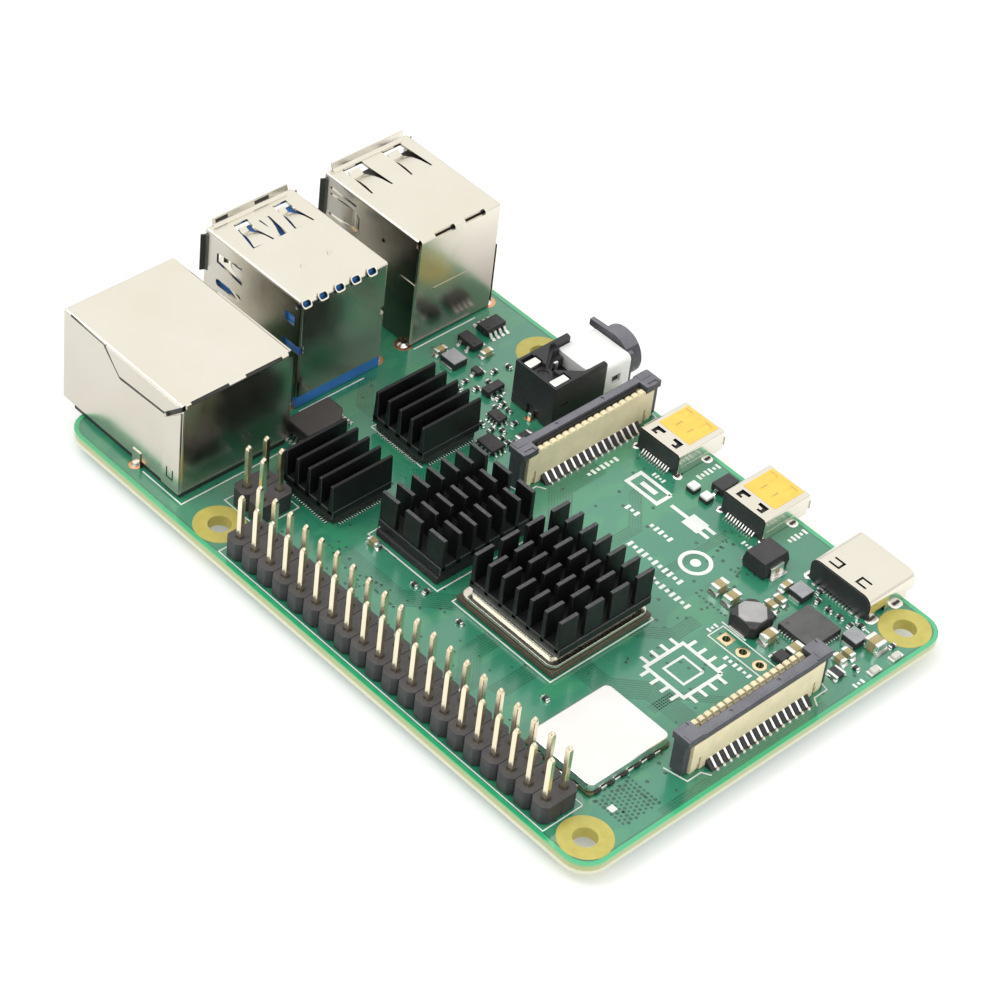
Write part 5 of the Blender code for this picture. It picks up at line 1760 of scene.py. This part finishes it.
def make_underside():
    joints = Shape()
    for name in ("gpio_header", "poe_header"):
        low, high = cad(name)
        for i in range(round((high.x - low.x) / PITCH)):
            for j in range(2):
                solder_cone(joints, low.x + PITCH * (i + 0.5), low.y + PITCH * (j + 0.5), 0.82)
    for i in range(8):
        low, high = cad("ethernet_shell")
        solder_cone(joints, 78.0 + 2.54 * (i % 2), (low.y + high.y) / 2 + 1.02 * (i - 3.5) * 1.25, 0.55)
    for node in ("usb3_shell", "usb2_shell"):
        low, high = cad(node)
        for i in range(4):
            for x in (74.6, 77.2):
                solder_cone(joints, x, (low.y + high.y) / 2 + 2.3 * (i - 1.5), 0.6)
    piece("underside_joints", joints, ["solder"])

    ink = Shape()
    z = (-0.03, 0.01)
    for a, b in ((20.0, 20.0), (30.0, 33.0), (45.0, 12.0), (58.0, 24.0), (58.0, 38.0)):
        ribbon(ink, [(a - 5, b - 4), (a + 5, b - 4), (a + 5, b + 4), (a - 5, b + 4), (a - 5, b - 4)], 0.16, z)
    piece("underside_ink", ink, ["white_ink"])
    random.seed(11)
    for number in range(34):
        a, b = random.uniform(15, 68), random.uniform(8, 47)
        size = random.choice(((1.0, 0.5, 0.35), (1.0, 0.5, 0.5), (1.6, 0.85, 0.8)))
        shape = Shape()
        along = (1, 0) if random.random() < 0.5 else (0, 1)
        length, width, height = size
        shape.block(a, b, *around_size(length * 0.6, width, along), (-height, -0.01))
        for end in (-1, 1):
            at = (a + end * along[0] * length * 0.38, b + end * along[1] * length * 0.38)
            shape.block(
                *at, *around_size(length * 0.28, width * 1.06, along), (-height - 0.02, -0.005), kind=1,
                bevel=0.05, segments=1
            )
        ceramic = "beige_ceramic" if height > 0.4 else "chip_black"
        piece(f"underside_part_{number:02d}", shape, [ceramic, "bright_tin"])


def around_size(length, width, along):
    return (length, width) if along[0] else (width, length)


def make_card_socket():
    """The pressed cover of the memory card socket under the board, with its springs, and its base.
    """
    low, high = cad("card_socket_cover")
    y = (low.y + high.y) / 2
    cover, cuts = Shape(), Shape()
    cover.box((low.x, high.x), (low.y, high.y), (low.z, high.z), bevel=0.1)
    cuts.box((low.x - 1, high.x - 0.3), (low.y + 0.3, high.y - 0.3), (low.z + 0.22, high.z + 1))
    for at in (-3.6, 0.0, 3.6):
        cuts.box((5.2, 9.4), (y + at - 0.75, y + at - 0.5), (low.z - 1, low.z + 0.5))
        cuts.box((5.2, 9.4), (y + at + 0.5, y + at + 0.75), (low.z - 1, low.z + 0.5))
        cuts.box((9.2, 9.45), (y + at - 0.75, y + at + 0.75), (low.z - 1, low.z + 0.5))
    cuts.turned((low.x - 0.6, y), [(3.2, low.z - 1), (3.2, low.z + 0.5)], steps=32)
    piece("card_cover", cover, ["nickel"], ["card_socket_cover"], cuts=cuts)
    low, high = cad("card_socket_base")
    base = Shape()
    base.box((low.x, high.x), (low.y, high.y), (high.z - 0.32, high.z), bevel=0.03, segments=1)
    base.box((high.x - 1, high.x), (low.y, high.y), (low.z, high.z), bevel=0.05)
    for i in range(8):
        at = (low.y + high.y) / 2 + 1.1 * (i - 3.5)
        base.box(
            (5.7, high.x - 0.6), (at - 0.28, at + 0.28), (high.z - 0.5, high.z - 0.28), kind=1, bevel=0.04,
            segments=1
        )
    piece("card_base", base, ["black_plastic", "gold"], ["card_socket_base"])


make_board_relief()
make_ink()
make_plated_rings()
make_underside()
make_card_socket()


# ---- CAD nodes that keep their own shape ----


def dress_cad_nodes():
    """Gives each CAD node the finish of its slot in the record."""
    for part in frame["record"]["subparts"]:
        node = frame["nodes"].get(part["node"])
        if node:
            node.data.materials.clear()
            node.data.materials.append(FINISHES[part["material_slot"]])


dress_cad_nodes()
